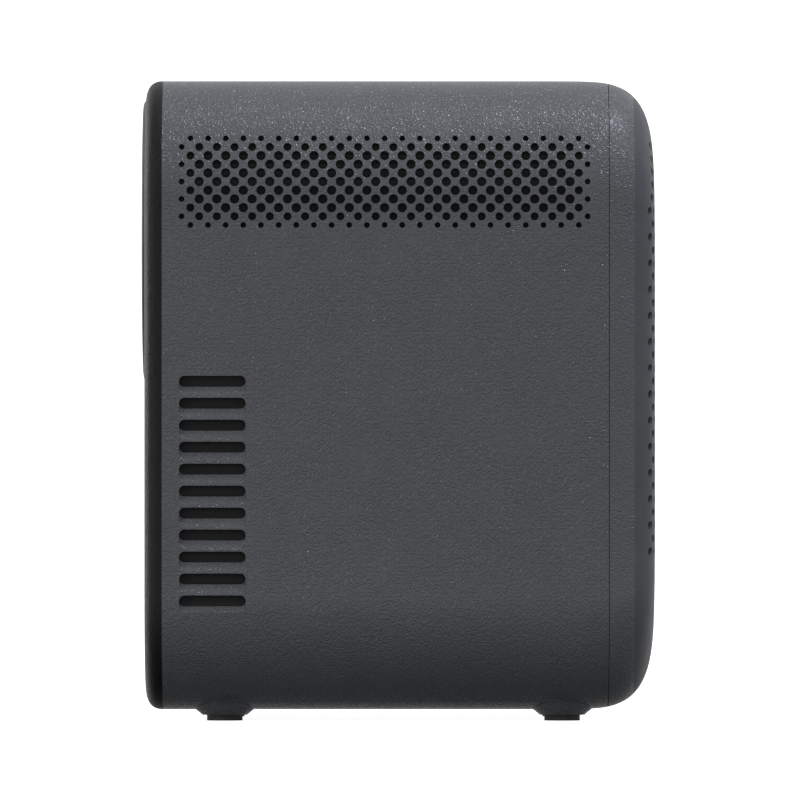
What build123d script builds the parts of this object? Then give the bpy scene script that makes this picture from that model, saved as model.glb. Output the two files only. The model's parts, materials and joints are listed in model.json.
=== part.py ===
from build123d import *
import os
from dataclasses import dataclass
from math import atan2, cos, degrees, hypot, pi, radians, sin, sqrt, tan

# Upright home projector with a disc player behind a round hinged lid in its back.
# Frame: +Z up, front face towards -Y, disc lid towards +Y, origin under the middle of the body on the table.
# Lengths are millimetres.

# ---------------------------------------------------------------- driving dimensions
# Body
body_width = 200.0
body_height = 300.0
body_depth = 242.8
side_corner = 54.0            # corner radius of the body seen from the front
wall = 2.5
foot_lift = 5.2               # table to the underside of the body
housing_from_front = 22.2     # front face to the seam behind the front cover
grille_from_front = 10.0      # front face to the seam behind the grille
housing_from_back = 8.4       # back face to the seam of the back cover
seam_gap = 0.3                # open groove between the front cover and the housing
fit_gap = 0.25                # side clearance of pieces that slip together
spigot_wall = 1.35            # ring of the front cover that slips into the housing
screen_thickness = 0.6        # dust screens behind the vents
overrun = 1.0                 # how far a cut starts outside the surface
play = 0.1                    # radial clearance of shafts and screws in their holes

# Side vents: holes on every second place of a grid
vent_columns = 47
vent_rows = 11
vent_column_pitch = 4.187
vent_row_pitch = 4.12
vent_from_front = 32.4        # front face to the first column
vent_from_top = 28.1          # body top to the first row
vent_diameters = (2.75, 3.85, 4.45)    # outermost ring of places, the next ring, and all others

# Side louvers
louver_count = 11
louver_pitch = 10.42
louver_length = 31.6
louver_height = 5.2
louver_lip = 3.8              # slanted lip below each slot
louver_lip_depth = 2.0
louver_from_front = 210.4     # front face to the middle of the slots
louver_from_top = 143.4       # body top to the middle of the first slot

# Feet
foot_side = 50.0              # middle plane to a foot
foot_front = 44.0             # front face to the front feet
foot_back = 205.0             # front face to the back feet
foot_radius = 8.5
foot_thickness = 2.7
foot_stem_radius = 4.0
foot_stem_length = 4.0
flare_radii = (10.7, 13.8, 17.5)       # boss radius at its end, level with the body, and further up
flare_rise = 4.5

# Screw posts of the housing and general screws
post_radius = 4.5
post_length = 12.0
post_end = 2.0                # solid end of a post behind its screw hole
post_corner_side = 70.0       # middle plane to the corner posts
post_corner_drop = 27.2       # body top or bottom to the corner posts
post_side = 83.0
post_side_height = 184.8      # body bottom to the side posts
web = 3.0                     # thickness of the ribs that tie posts to the walls
screw_radius = 1.4
screw_head_radius = 2.8
screw_head = 2.0
screw_length = 11.0

# Front grille
grille_hole = 4.0
grille_pitch = 6.22           # row to row
grille_margin = 4.0           # hole field to the edge of the flat face
window_radius = 3.0           # remote-control window
window_height = 69.5          # body bottom to the window
mesh_thickness = 0.4
mesh_margin = 2.0

# Lens and its focus gear
lens_height = 194.8           # body bottom to the lens axis
lens_opening = 37.0           # radius of the hole in the grille
bezel_inner = 29.0
bezel_flange = 3.0            # rim of the bezel behind the grille
barrel_radius = 27.0
barrel_wall = 2.0
barrel_length = 38.0
barrel_setback = 14.3         # front face to the front of the barrel
focus_travel = 6.0
focus_turn = 90.0
tube_wall = 2.0
ring_wall = 2.6
ring_length = 24.0
cam_pin_radius = 1.5
gear_module = 1.0
ring_teeth = 68
pinion_teeth = 14
gear_width = 7.0
gear_backlash = 0.25
pinion_angle = -50.0          # from the lens axis, measured from +X towards +Z
focus_motor_radius = 7.5
focus_motor_length = 21.0
pinion_shaft = 1.0

# Light engine
engine_width = 76.0
engine_length = 76.0          # along Y
engine_wall = 2.5
engine_front = 58.3           # front face to the front of the engine case
engine_floor = 56.8           # body bottom to the underside of the engine case
mirror_thickness = 2.0
lcd_height = 58.0             # engine case underside to the LCD panel
field_height = 73.0           # engine case underside to the field lens
condenser_height = 42.0       # engine case underside to the condenser lens
funnel_height = 38.0
led_side = 24.0
heat_sink_side = 80.0
heat_sink_base = 6.0
fin_count = 13
fin_thickness = 1.5

# Chassis plate, fans and speakers
chassis_rise = 8.3            # inside floor to the underside of the chassis plate
chassis_thickness = 1.5
chassis_margin = 12.0         # chassis plate to the baffle and to the back cover seam
chassis_post_side = 50.0
chassis_gap = 1.0             # side of the chassis plate to the ribs of the corner posts
fan_size = 80.0
fan_depth = 20.0
fan_side = 43.0               # middle plane to a fan axis
fan_height = 98.8             # body bottom to the fan axes
fan_bore = 37.5
fan_hub = 17.0
fan_spider = 3.0              # arms that carry the fan's bearing
fan_shaft = 1.5
blade_root = (14.0, 1.8, 48.0)     # chord, thickness and pitch angle of a blade at the hub
blade_end = (19.0, 1.4, 30.0)      # the same at its tip
fan_blades = 7
fan_hole_spacing = 71.5
bulkhead_from_front = 174.3   # front face to the back of the bulkhead
bulkhead_thickness = 2.0
bulkhead_top = 154.8          # body bottom to the top of the bulkhead
baffle_thickness = 2.5
baffle_from_seam = 8.6        # front cover seam to the back of the baffle
speaker_radius = 32.0
speaker_side = 57.0
speaker_height = 106.8
speaker_depth = 26.0
magnet_radius = 17.0
magnet_length = 12.0
surround = 3.5                # flange of a speaker frame
cone_gap = 0.1                # cone edge to the frame

# Disc lid and hinge
lid_radius = 68.0
lid_face_radius = 64.25
lid_proud = 1.76
lid_thickness = 3.5
lid_gap = 0.5                 # lid edge to its recess
lid_seat_gap = 0.3
lid_height = 224.1            # body bottom to the middle of the lid
lid_rib_height = 2.2
lid_rib_wall = 1.5
hinge_side = 72.5             # middle plane to the hinge pin
hinge_below_back = 1.9        # back face to the hinge axis
hinge_pin_radius = 1.0
knuckle_radius = 2.6
knuckle_start = 10.0          # lid middle to the near end of a knuckle
knuckle_length = 13.0
knuckle_gap = 0.3             # end of a knuckle to its pocket
pin_overrun = 8.0
hinge_pad_width = 15.0        # thick patch of the back cover under the hinge
recess_rim = 3.5              # thick ring round the lid recess
scoop_depth = 1.7             # finger scoop beside the lid
scoop_half = 9.0
scoop_pad = 2.2
magnet_disc = 2.5
magnet_thickness = 1.5

# Disc deck
disc_radius = 60.0
well_clearance = 2.5          # disc edge to the wall of the well
deck_wall = 2.0
well_depth = 11.0             # back face to the floor of the well
hub_opening = 18.0
platter_radius = 15.0
platter_thickness = 2.5
platter_lift = 1.3            # well floor to the top of the platter
hub_radius = 7.4
hub_height = 4.4
hub_cone = 1.2                # sloped top of the hub
ball_radius = 1.1             # balls that hold the disc on the hub
ball_circle = 6.8
spindle_radius = 1.0
spindle_motor_radius = 12.0
spindle_motor_length = 8.0
deck_gap = 9.0                # underside of the well floor to the top of the deck chassis
deck_plate = 1.5
sled_inner = 24.0             # lens to spindle axis at rest
sled_travel = 34.0
sled_length = 26.0
sled_half_width = 30.0
sled_thickness = 7.3
eye_radius = 2.3              # objective lens
lens_boss_radius = 3.4        # ring round the objective lens
lens_boss = 1.2
rod_side = 25.0
rod_radius = 1.5
screw_side = 36.0             # spindle axis to the lead screw
lead_radius = 1.5
sled_motor_radius = 4.4
sled_motor_length = 15.0
damper_side = 46.0
damper_heights = (-38.0, 30.0)
damper_radius = 5.5
damper_flange = 3.0
ear_reach = 74.0              # spindle axis to the screw ears of the deck
ear_lift = 4.0                # well floor to the face of the ears
ear_thickness = 2.0
deck_post_radius = 4.0        # posts that carry the dampers
damper_pin = 2.5
damper_screw = 1.1
damper_head = 4.0

# Boards and sockets
board_thickness = 1.6
standoff_length = 8.0
socket_height = 36.8          # body bottom to the middle of the sockets
socket_recess = 0.3           # back face to the mouth of the sockets
socket_depth = 15.2
board_post_radius = 3.0
inlet_side = 50.0
inlet_width = 22.0
inlet_height = 14.0
inlet_depth = 20.0
inlet_pin_spacing = 8.6
inlet_pin_radius = 1.2

# Top buttons
button_radius = 5.5
button_pitch = 15.0
button_from_front = 77.3
button_names = ("power_button", "source_button", "volume_down_button", "volume_up_button")
button_travel = 1.0
key_board_length = 96.0
key_board_width = 14.0
key_board_drop = 8.7          # inside of the top wall to the key board
key_post_radius = 3.0
key_side = 6.0                # key switch on the key board
key_height = 3.0

# Camera thread in the underside
insert_radius = 4.75
insert_bore = 3.175
insert_length = 10.0
insert_wall = 3.0             # plastic round the threaded insert

# ---------------------------------------------------------------- places worked out from them
front_y = -(body_depth + lid_proud) / 2
back_y = front_y + body_depth
bottom_z = foot_lift
top_z = foot_lift + body_height
middle_z = (bottom_z + top_z) / 2
housing_front_y = front_y + housing_from_front
housing_back_y = back_y - housing_from_back
grille_back_y = front_y + grille_from_front
floor_z = bottom_z + wall
lens_z = bottom_z + lens_height
lid_z = bottom_z + lid_height
baffle_back_y = housing_front_y + baffle_from_seam
baffle_front_y = baffle_back_y - baffle_thickness
chassis_z = floor_z + chassis_rise
chassis_top_z = chassis_z + chassis_thickness
engine_front_y = front_y + engine_front
engine_middle_y = engine_front_y + engine_length / 2
engine_z = bottom_z + engine_floor
well_floor_y = back_y - well_depth
ear_y = well_floor_y + ear_lift
well_radius = disc_radius + well_clearance
deck_plate_y = well_floor_y - deck_wall - deck_gap
lid_back_y = back_y + lid_proud
lid_under_y = lid_back_y - lid_thickness
lid_seat_y = lid_under_y - lid_seat_gap
hinge_y = back_y - hinge_below_back
cover_inner_y = back_y - wall
boss_root_y = cover_inner_y + 0.2    # bosses of the back cover start inside its wall
pad_y = cover_inner_y - wall
post_places = [
    (side * x, z)
    for side in (-1, 1)
    for x, z in (
        (post_corner_side, bottom_z + post_corner_drop),
        (post_corner_side, top_z - post_corner_drop),
        (post_side, bottom_z + post_side_height),
    )
]
foot_places = [(side * foot_side, front_y + y) for side in (-1, 1) for y in (foot_front, foot_back)]
chassis_posts = [
    (side * chassis_post_side, y)
    for side in (-1, 1)
    for y in (baffle_back_y + 2 * chassis_margin, housing_back_y - 3 * chassis_margin)
]
fan_places = [(side * fan_side, bottom_z + fan_height) for side in (-1, 1)]
speaker_places = [(side * speaker_side, bottom_z + speaker_height) for side in (-1, 1)]
ear_places = [
    (ear_reach * cos(radians(angle)), lid_z + ear_reach * sin(radians(angle)))
    for angle in (45, 135, 225, 315)
]
damper_places = [(side * damper_side, lid_z + z) for side in (-1, 1) for z in damper_heights]
button_places = [((i - (len(button_names) - 1) / 2) * button_pitch, front_y + button_from_front)
                 for i in range(len(button_names))]
key_post_side = key_board_length / 2 - 4


def facing_front(y):
    """Upright plane at y whose sketches read x to the right and z up; it extrudes towards the front."""
    return Plane.XZ.offset(-y)


def spread(points, z=0.0):
    """Flat places lifted to a height, for pieces that repeat."""
    return [(x, y, z) for x, y in points]


# ---------------------------------------------------------------- body outline
@dataclass
class RoundedEnd:
    """Superellipse by which the body draws in towards one end."""

    depth: float
    drop: float
    side: float
    corner: float
    power: float
    steps: int

    def sections(self, margin):
        """Distance into the rounding, and width, height and corner of the body there, drawn in by margin."""
        for i in range(self.steps + 1):
            angle = pi / 2 * i / self.steps
            along = (self.depth - margin) * sin(angle) ** (2 / self.power)
            share = 1 - cos(angle) ** (2 / self.power)
            yield (
                along,
                body_width - 2 * margin - 2 * share * (self.side - margin),
                body_height - 2 * margin - 2 * share * (self.drop - margin),
                (side_corner - margin) * (1 - share) + self.corner * share,
            )


front_end = RoundedEnd(depth=45.1, drop=64.5, side=30.0, corner=28.0, power=3.92, steps=9)
back_end = RoundedEnd(depth=9.0, drop=12.9, side=12.9, corner=44.0, power=2.8, steps=5)


def body_block(margin):
    """The whole body as one solid, every face drawn in by margin."""
    front_start = front_y + front_end.depth
    back_start = back_y - back_end.depth
    with BuildPart() as block:
        with BuildSketch(facing_front(back_start)):
            with Locations((0, middle_z)):
                RectangleRounded(body_width - 2 * margin, body_height - 2 * margin, side_corner - margin)
        extrude(amount=back_start - front_start)
        for along, width, height, corner in front_end.sections(margin):
            with BuildSketch(facing_front(front_start - along)):
                with Locations((0, middle_z)):
                    RectangleRounded(width, height, corner)
        loft()
        for along, width, height, corner in back_end.sections(margin):
            with BuildSketch(facing_front(back_start + along)):
                with Locations((0, middle_z)):
                    RectangleRounded(width, height, corner)
        loft()
    return block.part


outer_body = body_block(0)
inner_body = body_block(wall)
body_shell = outer_body - inner_body
lip_outer = body_block(wall + fit_gap)
lip_inner = body_block(wall + fit_gap + spigot_wall)
screen_inner = body_block(wall + fit_gap + screen_thickness)
lining = lip_outer - screen_inner


def slab(y_low, y_high):
    """Everything of the body between two depths."""
    return Pos(0, (y_low + y_high) / 2, middle_z) * Box(2 * body_width, y_high - y_low, 2 * body_height)


sleeve = body_shell & slab(housing_front_y, housing_back_y)
side_wall_start = 80.0        # the side walls are drilled as pieces of their own, outside this distance
outside_box = Box(body_width, 2 * body_depth, 2 * body_height)
middle_box = Box(2 * side_wall_start, 2 * body_depth, 2 * body_height)
side_wall = sleeve & (Pos(side_wall_start + body_width / 2, 0, middle_z) * outside_box)
sleeve_middle = sleeve & (Pos(0, 0, middle_z) * middle_box)
cover_ring = body_shell & slab(grille_back_y, housing_front_y - seam_gap)
cover_step = (inner_body - lip_inner) & slab(housing_front_y - seam_gap - wall, housing_front_y - seam_gap)
cover_spigot = (lip_outer - lip_inner) & slab(housing_front_y - seam_gap, baffle_front_y - fit_gap)
grille_cap = body_shell & slab(front_y - overrun, grille_back_y)
back_cap = body_shell & slab(housing_back_y, back_y + overrun)


def vent_places():
    """Holes of the side vents as ring number and place, thinner towards the edge of the field."""
    for column in range(vent_columns):
        for row in range(vent_rows):
            if (column + row) % 2 == 1:
                ring = min(column, vent_columns - 1 - column, row, vent_rows - 1 - row, 2)
                y = front_y + vent_from_front + column * vent_column_pitch
                z = top_z - vent_from_top - row * vent_row_pitch
                yield ring, (y, z)


louver_places = [
    (front_y + louver_from_front, top_z - louver_from_top - i * louver_pitch) for i in range(louver_count)
]
louver_corner = louver_height / 2 - 0.01


with BuildPart() as lip_cut:
    with BuildSketch(Plane.YZ.offset(body_width / 2 + play)):
        with Locations((0, -louver_lip / 2)):
            RectangleRounded(louver_length, louver_height + louver_lip, louver_corner)
    with BuildSketch(Plane.YZ.offset(body_width / 2 - louver_lip_depth)):
        RectangleRounded(louver_length, louver_height, louver_corner)
    loft()
lip_cuts = [Pos(0, y, z) * lip_cut.part for y, z in louver_places]

# ---------------------------------------------------------------- main housing
flare_low_z = foot_thickness
standing = (Align.CENTER, Align.CENTER, Align.MIN)

with BuildPart() as foot_flares:
    with Locations(*spread(foot_places, flare_low_z)):
        Cone(flare_radii[0], flare_radii[1], bottom_z - flare_low_z, align=standing)
    with Locations(*spread(foot_places, bottom_z)):
        Cone(flare_radii[1], flare_radii[2], flare_rise, align=standing)
    add(inner_body, mode=Mode.SUBTRACT)

with BuildPart() as drilled_wall:
    add(side_wall)
    add(lip_cuts, mode=Mode.SUBTRACT)
    with BuildSketch(Plane.YZ.offset(side_wall_start)):
        for ring, diameter in enumerate(vent_diameters):
            with Locations(*[place for number, place in vent_places() if number == ring]):
                Circle(diameter / 2)
        with Locations(*louver_places):
            RectangleRounded(louver_length, louver_height, louver_corner)
    extrude(amount=body_width / 2 - side_wall_start + overrun, mode=Mode.SUBTRACT)

drilled_walls = [drilled_wall.part, mirror(drilled_wall.part, about=Plane.YZ)]

with BuildPart() as main_housing:
    add(sleeve_middle)
    add(foot_flares.part)
    # screw posts for the back cover and for the front baffle, each tied to the nearest wall
    for start_y in (housing_back_y, baffle_back_y + post_length):
        with BuildSketch(facing_front(start_y)):
            with Locations(*post_places):
                Circle(post_radius)
            for x, z in post_places:
                if abs(x) == post_side:
                    reach = body_width / 2 - wall / 2 - post_side
                    with Locations((x + reach / 2 * (1 if x > 0 else -1), z)):
                        Rectangle(reach, web)
                else:
                    away = 1 if z > middle_z else -1
                    rise = side_corner - wall / 2
                    across = abs(x) - (body_width / 2 - side_corner)
                    end_z = middle_z + away * (body_height / 2 - side_corner + sqrt(rise**2 - across**2))
                    with Locations((x, (z + end_z) / 2)):
                        Rectangle(web, abs(end_z - z))
        extrude(amount=post_length)
    with BuildSketch(facing_front(housing_back_y)):
        with Locations(*post_places):
            Circle(screw_radius + play)
    extrude(amount=post_length - post_end, mode=Mode.SUBTRACT)
    with BuildSketch(facing_front(baffle_back_y)):
        with Locations(*post_places):
            Circle(screw_radius + play)
    extrude(amount=-(post_length - post_end), mode=Mode.SUBTRACT)
    # posts for the chassis plate, boss for the camera thread
    with BuildSketch(Plane.XY.offset(chassis_z)):
        with Locations(*chassis_posts):
            Circle(post_radius)
        Circle(insert_radius + insert_wall)
    extrude(amount=-(chassis_rise + wall / 2))
    with BuildSketch(Plane.XY.offset(chassis_z)):
        with Locations(*chassis_posts):
            Circle(screw_radius + play)
    extrude(amount=-(chassis_rise - overrun), mode=Mode.SUBTRACT)
    with BuildSketch(Plane.XY.offset(bottom_z)):
        Circle(insert_radius + play / 2)
    extrude(amount=insert_length + fit_gap, mode=Mode.SUBTRACT)
    # sockets for the stems of the feet
    with BuildSketch(Plane.XY.offset(flare_low_z)):
        with Locations(*foot_places):
            Circle(foot_stem_radius + play)
    extrude(amount=foot_stem_length + fit_gap, mode=Mode.SUBTRACT)
    # holes of the top buttons, posts of the key board
    with BuildSketch(Plane.XY.offset(top_z + overrun)):
        with Locations(*button_places):
            Circle(button_radius + fit_gap)
    extrude(amount=-(wall + 2 * overrun), mode=Mode.SUBTRACT)
    with BuildSketch(Plane.XY.offset(top_z - wall / 2)):
        with Locations(*[(side * key_post_side, front_y + button_from_front) for side in (-1, 1)]):
            Circle(key_post_radius)
    extrude(amount=-(wall / 2 + key_board_drop))
    add(drilled_walls)
main_housing.part.label = "main_housing"

# ---------------------------------------------------------------- front cover and grille
with BuildPart() as front_cover:
    add(cover_ring)
    add(cover_step)
    add(cover_spigot)
front_cover.part.label = "front_cover"

flat_half_width = body_width / 2 - front_end.side
flat_half_height = body_height / 2 - front_end.drop
grille_column_pitch = 2 * grille_pitch / sqrt(3)


def grille_places():
    """Staggered holes over the flat front face, clear of the lens and of the window."""
    half_width = flat_half_width - grille_margin
    low = middle_z - flat_half_height + grille_margin + 2 * window_radius
    high = middle_z + flat_half_height - grille_margin
    rows = int((high - low) / grille_pitch)
    columns = int(half_width / grille_column_pitch) + 1
    for row in range(rows + 1):
        z = high - row * grille_pitch
        for column in range(-columns, columns + 1):
            x = (column + 0.5 * (row % 2)) * grille_column_pitch
            clear_of_lens = hypot(x, z - lens_z) > lens_opening + grille_hole
            if abs(x) <= half_width and clear_of_lens:
                yield (x, z)


with BuildPart() as front_grille:
    add(grille_cap)
    with BuildSketch(facing_front(front_y + wall + overrun)):
        with Locations(*grille_places()):
            Circle(grille_hole / 2)
        with Locations((0, lens_z)):
            Circle(lens_opening)
        with Locations((0, bottom_z + window_height)):
            Circle(window_radius + play)
    extrude(amount=wall + 2 * overrun, mode=Mode.SUBTRACT)
front_grille.part.label = "front_grille"

grille_inner_y = front_y + wall
with BuildPart() as grille_mesh:
    with BuildSketch(facing_front(grille_inner_y + mesh_thickness)):
        with Locations((0, middle_z + window_radius + mesh_margin)):
            RectangleRounded(
                2 * (flat_half_width - mesh_margin / 2),
                2 * (flat_half_height - window_radius - 2 * mesh_margin),
                front_end.corner,
            )
        with Locations((0, lens_z)):
            Circle(lens_opening + bezel_flange + fit_gap, mode=Mode.SUBTRACT)
    extrude(amount=mesh_thickness)
grille_mesh.part.label = "grille_mesh"

with BuildPart() as remote_window:
    with BuildSketch(facing_front(grille_inner_y + 1)):
        with Locations((0, bottom_z + window_height)):
            Circle(window_radius + 1)
    extrude(amount=1)
    with BuildSketch(facing_front(grille_inner_y)):
        with Locations((0, bottom_z + window_height)):
            Circle(window_radius)
    extrude(amount=wall - 0.05)
remote_window.part.label = "remote_window"

# ---------------------------------------------------------------- front baffle and speakers
pinion_distance = gear_module * (ring_teeth + pinion_teeth) / 2 + 0.05
pinion_x = pinion_distance * cos(radians(pinion_angle))
pinion_z = lens_z + pinion_distance * sin(radians(pinion_angle))
gear_outer = gear_module * (ring_teeth / 2 + 1)
pinion_outer = gear_module * (pinion_teeth / 2 + 1)

with BuildPart() as front_baffle:
    with BuildSketch(facing_front(baffle_back_y)):
        with Locations((0, middle_z)):
            RectangleRounded(
                body_width - 2 * (wall + 2 * fit_gap),
                body_height - 2 * (wall + 3 * fit_gap),
                side_corner - wall - fit_gap,
            )
        with Locations((0, lens_z)):
            Circle(gear_outer + 3, mode=Mode.SUBTRACT)
        with Locations((pinion_x, pinion_z)):
            Circle(pinion_outer + 1.5, mode=Mode.SUBTRACT)
        with Locations(*speaker_places):
            Circle(speaker_radius - surround + 0.5, mode=Mode.SUBTRACT)
        with Locations(*post_places):
            Circle(screw_radius + play, mode=Mode.SUBTRACT)
    extrude(amount=baffle_thickness)
front_baffle.part.label = "front_baffle"

# Speaker outlines turn about Y: first number is the radius, second the distance behind the flange face
flange_y = baffle_front_y - 2.0
basket_y = flange_y + speaker_depth - magnet_length


def turned(places, profile, start_y):
    """Solids turned about axes along Y from one closed profile of (radius, distance behind start_y)."""
    with BuildPart() as piece:
        with BuildSketch(Plane.XY):
            with BuildLine():
                Polyline(*[(radius, start_y + along) for radius, along in profile], close=True)
            make_face()
        revolve(axis=Axis.Y)
    return [Pos(x, 0, z) * piece.part for x, z in places]


basket_back = basket_y - flange_y
basket_mouth = speaker_radius - surround
cone_edge = basket_mouth - cone_gap
frame_profile = [
    (basket_mouth, 0), (speaker_radius, 0), (speaker_radius, 2), (basket_mouth + 0.3, 2),
    (magnet_radius, basket_back), (6, basket_back), (6, basket_back - 1.5),
    (magnet_radius - 1, basket_back - 1.5), (basket_mouth, 1.4),
]
cone_profile = [
    (cone_edge, 0.4), (cone_edge, 1.2), (cone_edge - 2.4, 1.6), (9, basket_back - 4),
    (0, basket_back - 4), (0, basket_back - 6), (6, basket_back - 7), (9, basket_back - 5.2),
    (cone_edge - 2.4, 0.4),
]
magnet_profile = [
    (0, basket_back), (magnet_radius, basket_back), (magnet_radius, speaker_depth - 1.5),
    (magnet_radius - 1.5, speaker_depth), (0, speaker_depth),
]

with BuildPart() as speaker_frames:
    add(turned(speaker_places, frame_profile, flange_y))
speaker_frames.part.label = "speaker_frames"

with BuildPart() as speaker_cones:
    add(turned(speaker_places, cone_profile, flange_y))
speaker_cones.part.label = "speaker_cones"

with BuildPart() as speaker_magnets:
    add(turned(speaker_places, magnet_profile, flange_y))
speaker_magnets.part.label = "speaker_magnets"

# ---------------------------------------------------------------- back cover
hinge_half = knuckle_start + knuckle_length
hinge_pad_half = hinge_half + pin_overrun + 3
recess_radius = lid_radius + lid_gap
pocket_floor_y = hinge_y - knuckle_radius - 0.4
pocket_reach = knuckle_radius + 1.2
knuckle_places = [lid_z + side * (knuckle_start + knuckle_length / 2) for side in (-1, 1)]
catch_x = -(well_radius + recess_radius) / 2
socket_z = bottom_z + socket_height
scoop_x = -(recess_radius + 5)
scoop_radius = (scoop_half**2 + scoop_depth**2) / (2 * scoop_depth)
board_post_z = socket_z + 9.5
board_posts = [(-56, board_post_z), (16, board_post_z)]

# Signal sockets: middle, width and height of each box-shaped one, and the round one
socket_boxes = ((-49, 15.6, 6.6), (-28, 15.6, 6.6), (-7, 14.6, 7.2))
jack_x = 9.0
jack_radius = 3.6
jack_bore = 1.8

with BuildPart() as back_cover:
    add(back_cap)
    # thick ring around the opening, pad under the hinge and under the finger scoop
    with BuildSketch(facing_front(boss_root_y)):
        with Locations((0, lid_z)):
            Circle(recess_radius + recess_rim)
    extrude(amount=boss_root_y - pad_y)
    with BuildSketch(facing_front(boss_root_y)):
        with Locations((hinge_side, lid_z)):
            Rectangle(hinge_pad_width, 2 * hinge_pad_half)
    extrude(amount=boss_root_y - (pocket_floor_y - wall))
    with BuildSketch(facing_front(boss_root_y)):
        with Locations((scoop_x, lid_z)):
            Circle(scoop_half + 1.5)
    extrude(amount=scoop_pad)
    # screw bosses of the cover, of the deck and of the socket board
    with BuildSketch(facing_front(boss_root_y)):
        with Locations(*post_places):
            Circle(post_radius)
    extrude(amount=boss_root_y - housing_back_y)
    with BuildSketch(facing_front(boss_root_y)):
        with Locations(*ear_places):
            Circle(post_radius)
    extrude(amount=boss_root_y - ear_y)
    with BuildSketch(facing_front(boss_root_y)):
        with Locations(*board_posts):
            Circle(board_post_radius)
    extrude(amount=boss_root_y - (back_y - socket_recess - socket_depth))
    # opening and lid recess
    with BuildSketch(facing_front(back_y + overrun)):
        with Locations((0, lid_z)):
            Circle(well_radius)
    extrude(amount=2 * wall + 6, mode=Mode.SUBTRACT)
    with BuildSketch(facing_front(back_y + overrun)):
        with Locations((0, lid_z)):
            Circle(recess_radius)
    extrude(amount=back_y + overrun - lid_seat_y, mode=Mode.SUBTRACT)
    # pockets for the arms and knuckles of the lid
    for z in knuckle_places:
        with BuildSketch(facing_front(back_y + overrun)):
            with Locations(((hinge_side + lid_radius - 10) / 2, z)):
                Rectangle(hinge_side - lid_radius + 10, knuckle_length + 2 * knuckle_gap)
        extrude(amount=back_y + overrun - lid_seat_y, mode=Mode.SUBTRACT)
        with BuildSketch(facing_front(back_y + overrun)):
            with Locations((hinge_side, z)):
                Rectangle(2 * pocket_reach, knuckle_length + 2 * knuckle_gap)
        extrude(amount=back_y + overrun - pocket_floor_y, mode=Mode.SUBTRACT)
    with BuildSketch(Plane.XY.offset(lid_z - hinge_half - pin_overrun)):
        with Locations((hinge_side, hinge_y)):
            Circle(hinge_pin_radius + play / 2)
    extrude(amount=2 * (hinge_half + pin_overrun), mode=Mode.SUBTRACT)
    # finger scoop, seat of the catch plate
    with Locations((scoop_x, back_y - scoop_depth + scoop_radius, lid_z)):
        Sphere(scoop_radius, mode=Mode.SUBTRACT)
    with BuildSketch(facing_front(lid_seat_y)):
        with Locations((catch_x, lid_z)):
            Circle(magnet_disc + play)
    extrude(amount=1, mode=Mode.SUBTRACT)
    # screw holes from the back, and from inside for the deck and the socket board
    with BuildSketch(facing_front(back_y + overrun)):
        with Locations(*post_places):
            Circle(screw_head_radius + fit_gap)
    extrude(amount=overrun + 2 * wall, mode=Mode.SUBTRACT)
    with BuildSketch(facing_front(back_y + overrun)):
        with Locations(*post_places):
            Circle(screw_radius + play)
    extrude(amount=wall + housing_from_back, mode=Mode.SUBTRACT)
    with BuildSketch(facing_front(ear_y)):
        with Locations(*ear_places):
            Circle(screw_radius + play)
    extrude(amount=-3.8, mode=Mode.SUBTRACT)
    with BuildSketch(facing_front(back_y - socket_recess - socket_depth)):
        with Locations(*board_posts):
            Circle(screw_radius + play)
    extrude(amount=-8, mode=Mode.SUBTRACT)
    # socket and inlet cut-outs
    with BuildSketch(facing_front(back_y + overrun)):
        for x, width, height in socket_boxes:
            with Locations((x, socket_z)):
                Rectangle(width + 2 * fit_gap, height + 2 * fit_gap)
        with Locations((jack_x, socket_z)):
            Circle(jack_radius + fit_gap)
        with Locations((inlet_side, socket_z)):
            Rectangle(inlet_width + 2 * fit_gap, inlet_height + 2 * fit_gap)
    extrude(amount=wall + 2 * overrun, mode=Mode.SUBTRACT)
back_cover.part.label = "back_cover"

# ---------------------------------------------------------------- disc lid, hinge pin and catch
with BuildPart() as lid_plate:
    with BuildSketch(Plane.XY):
        with BuildLine():
            edge_shoulder = (lid_radius, back_y)
            bevel_bulge = ((lid_radius + lid_face_radius) / 2 + 0.55, back_y + lid_proud / 2 + 0.3)
            face_edge = (lid_face_radius, lid_back_y)
            Line((0, lid_under_y), (lid_radius, lid_under_y))
            Line((lid_radius, lid_under_y), edge_shoulder)
            ThreePointArc(edge_shoulder, bevel_bulge, face_edge)
            Line(face_edge, (0, lid_back_y))
            Line((0, lid_back_y), (0, lid_under_y))
        make_face()
    revolve(axis=Axis.Y)
    rib_outer = well_radius - lid_rib_wall
    with BuildSketch(facing_front(lid_under_y + 0.5)):
        Circle(rib_outer)
        Circle(rib_outer - lid_rib_wall, mode=Mode.SUBTRACT)
    extrude(amount=lid_rib_height + 0.5)
    with BuildSketch(facing_front(lid_under_y)):
        with Locations((catch_x, 0)):
            Circle(magnet_disc + play / 2)
    extrude(amount=-magnet_thickness, mode=Mode.SUBTRACT)
placed_lid_plate = Pos(0, 0, lid_z) * lid_plate.part

arm_thickness = lid_thickness - 1.4
with BuildPart() as disc_lid:
    add(placed_lid_plate)
    for z in knuckle_places:
        with BuildSketch(Plane.XY.offset(z - knuckle_length / 2)):
            with Locations((hinge_side, hinge_y)):
                Circle(knuckle_radius)
            with Locations(((hinge_side + lid_radius - 9) / 2, lid_under_y + arm_thickness / 2)):
                Rectangle(hinge_side - lid_radius + 9, arm_thickness)
        extrude(amount=knuckle_length)
    with BuildSketch(Plane.XY.offset(lid_z - hinge_half - 1)):
        with Locations((hinge_side, hinge_y)):
            Circle(hinge_pin_radius + play)
    extrude(amount=2 * hinge_half + 2, mode=Mode.SUBTRACT)
disc_lid.part.label = "disc_lid"

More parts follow.
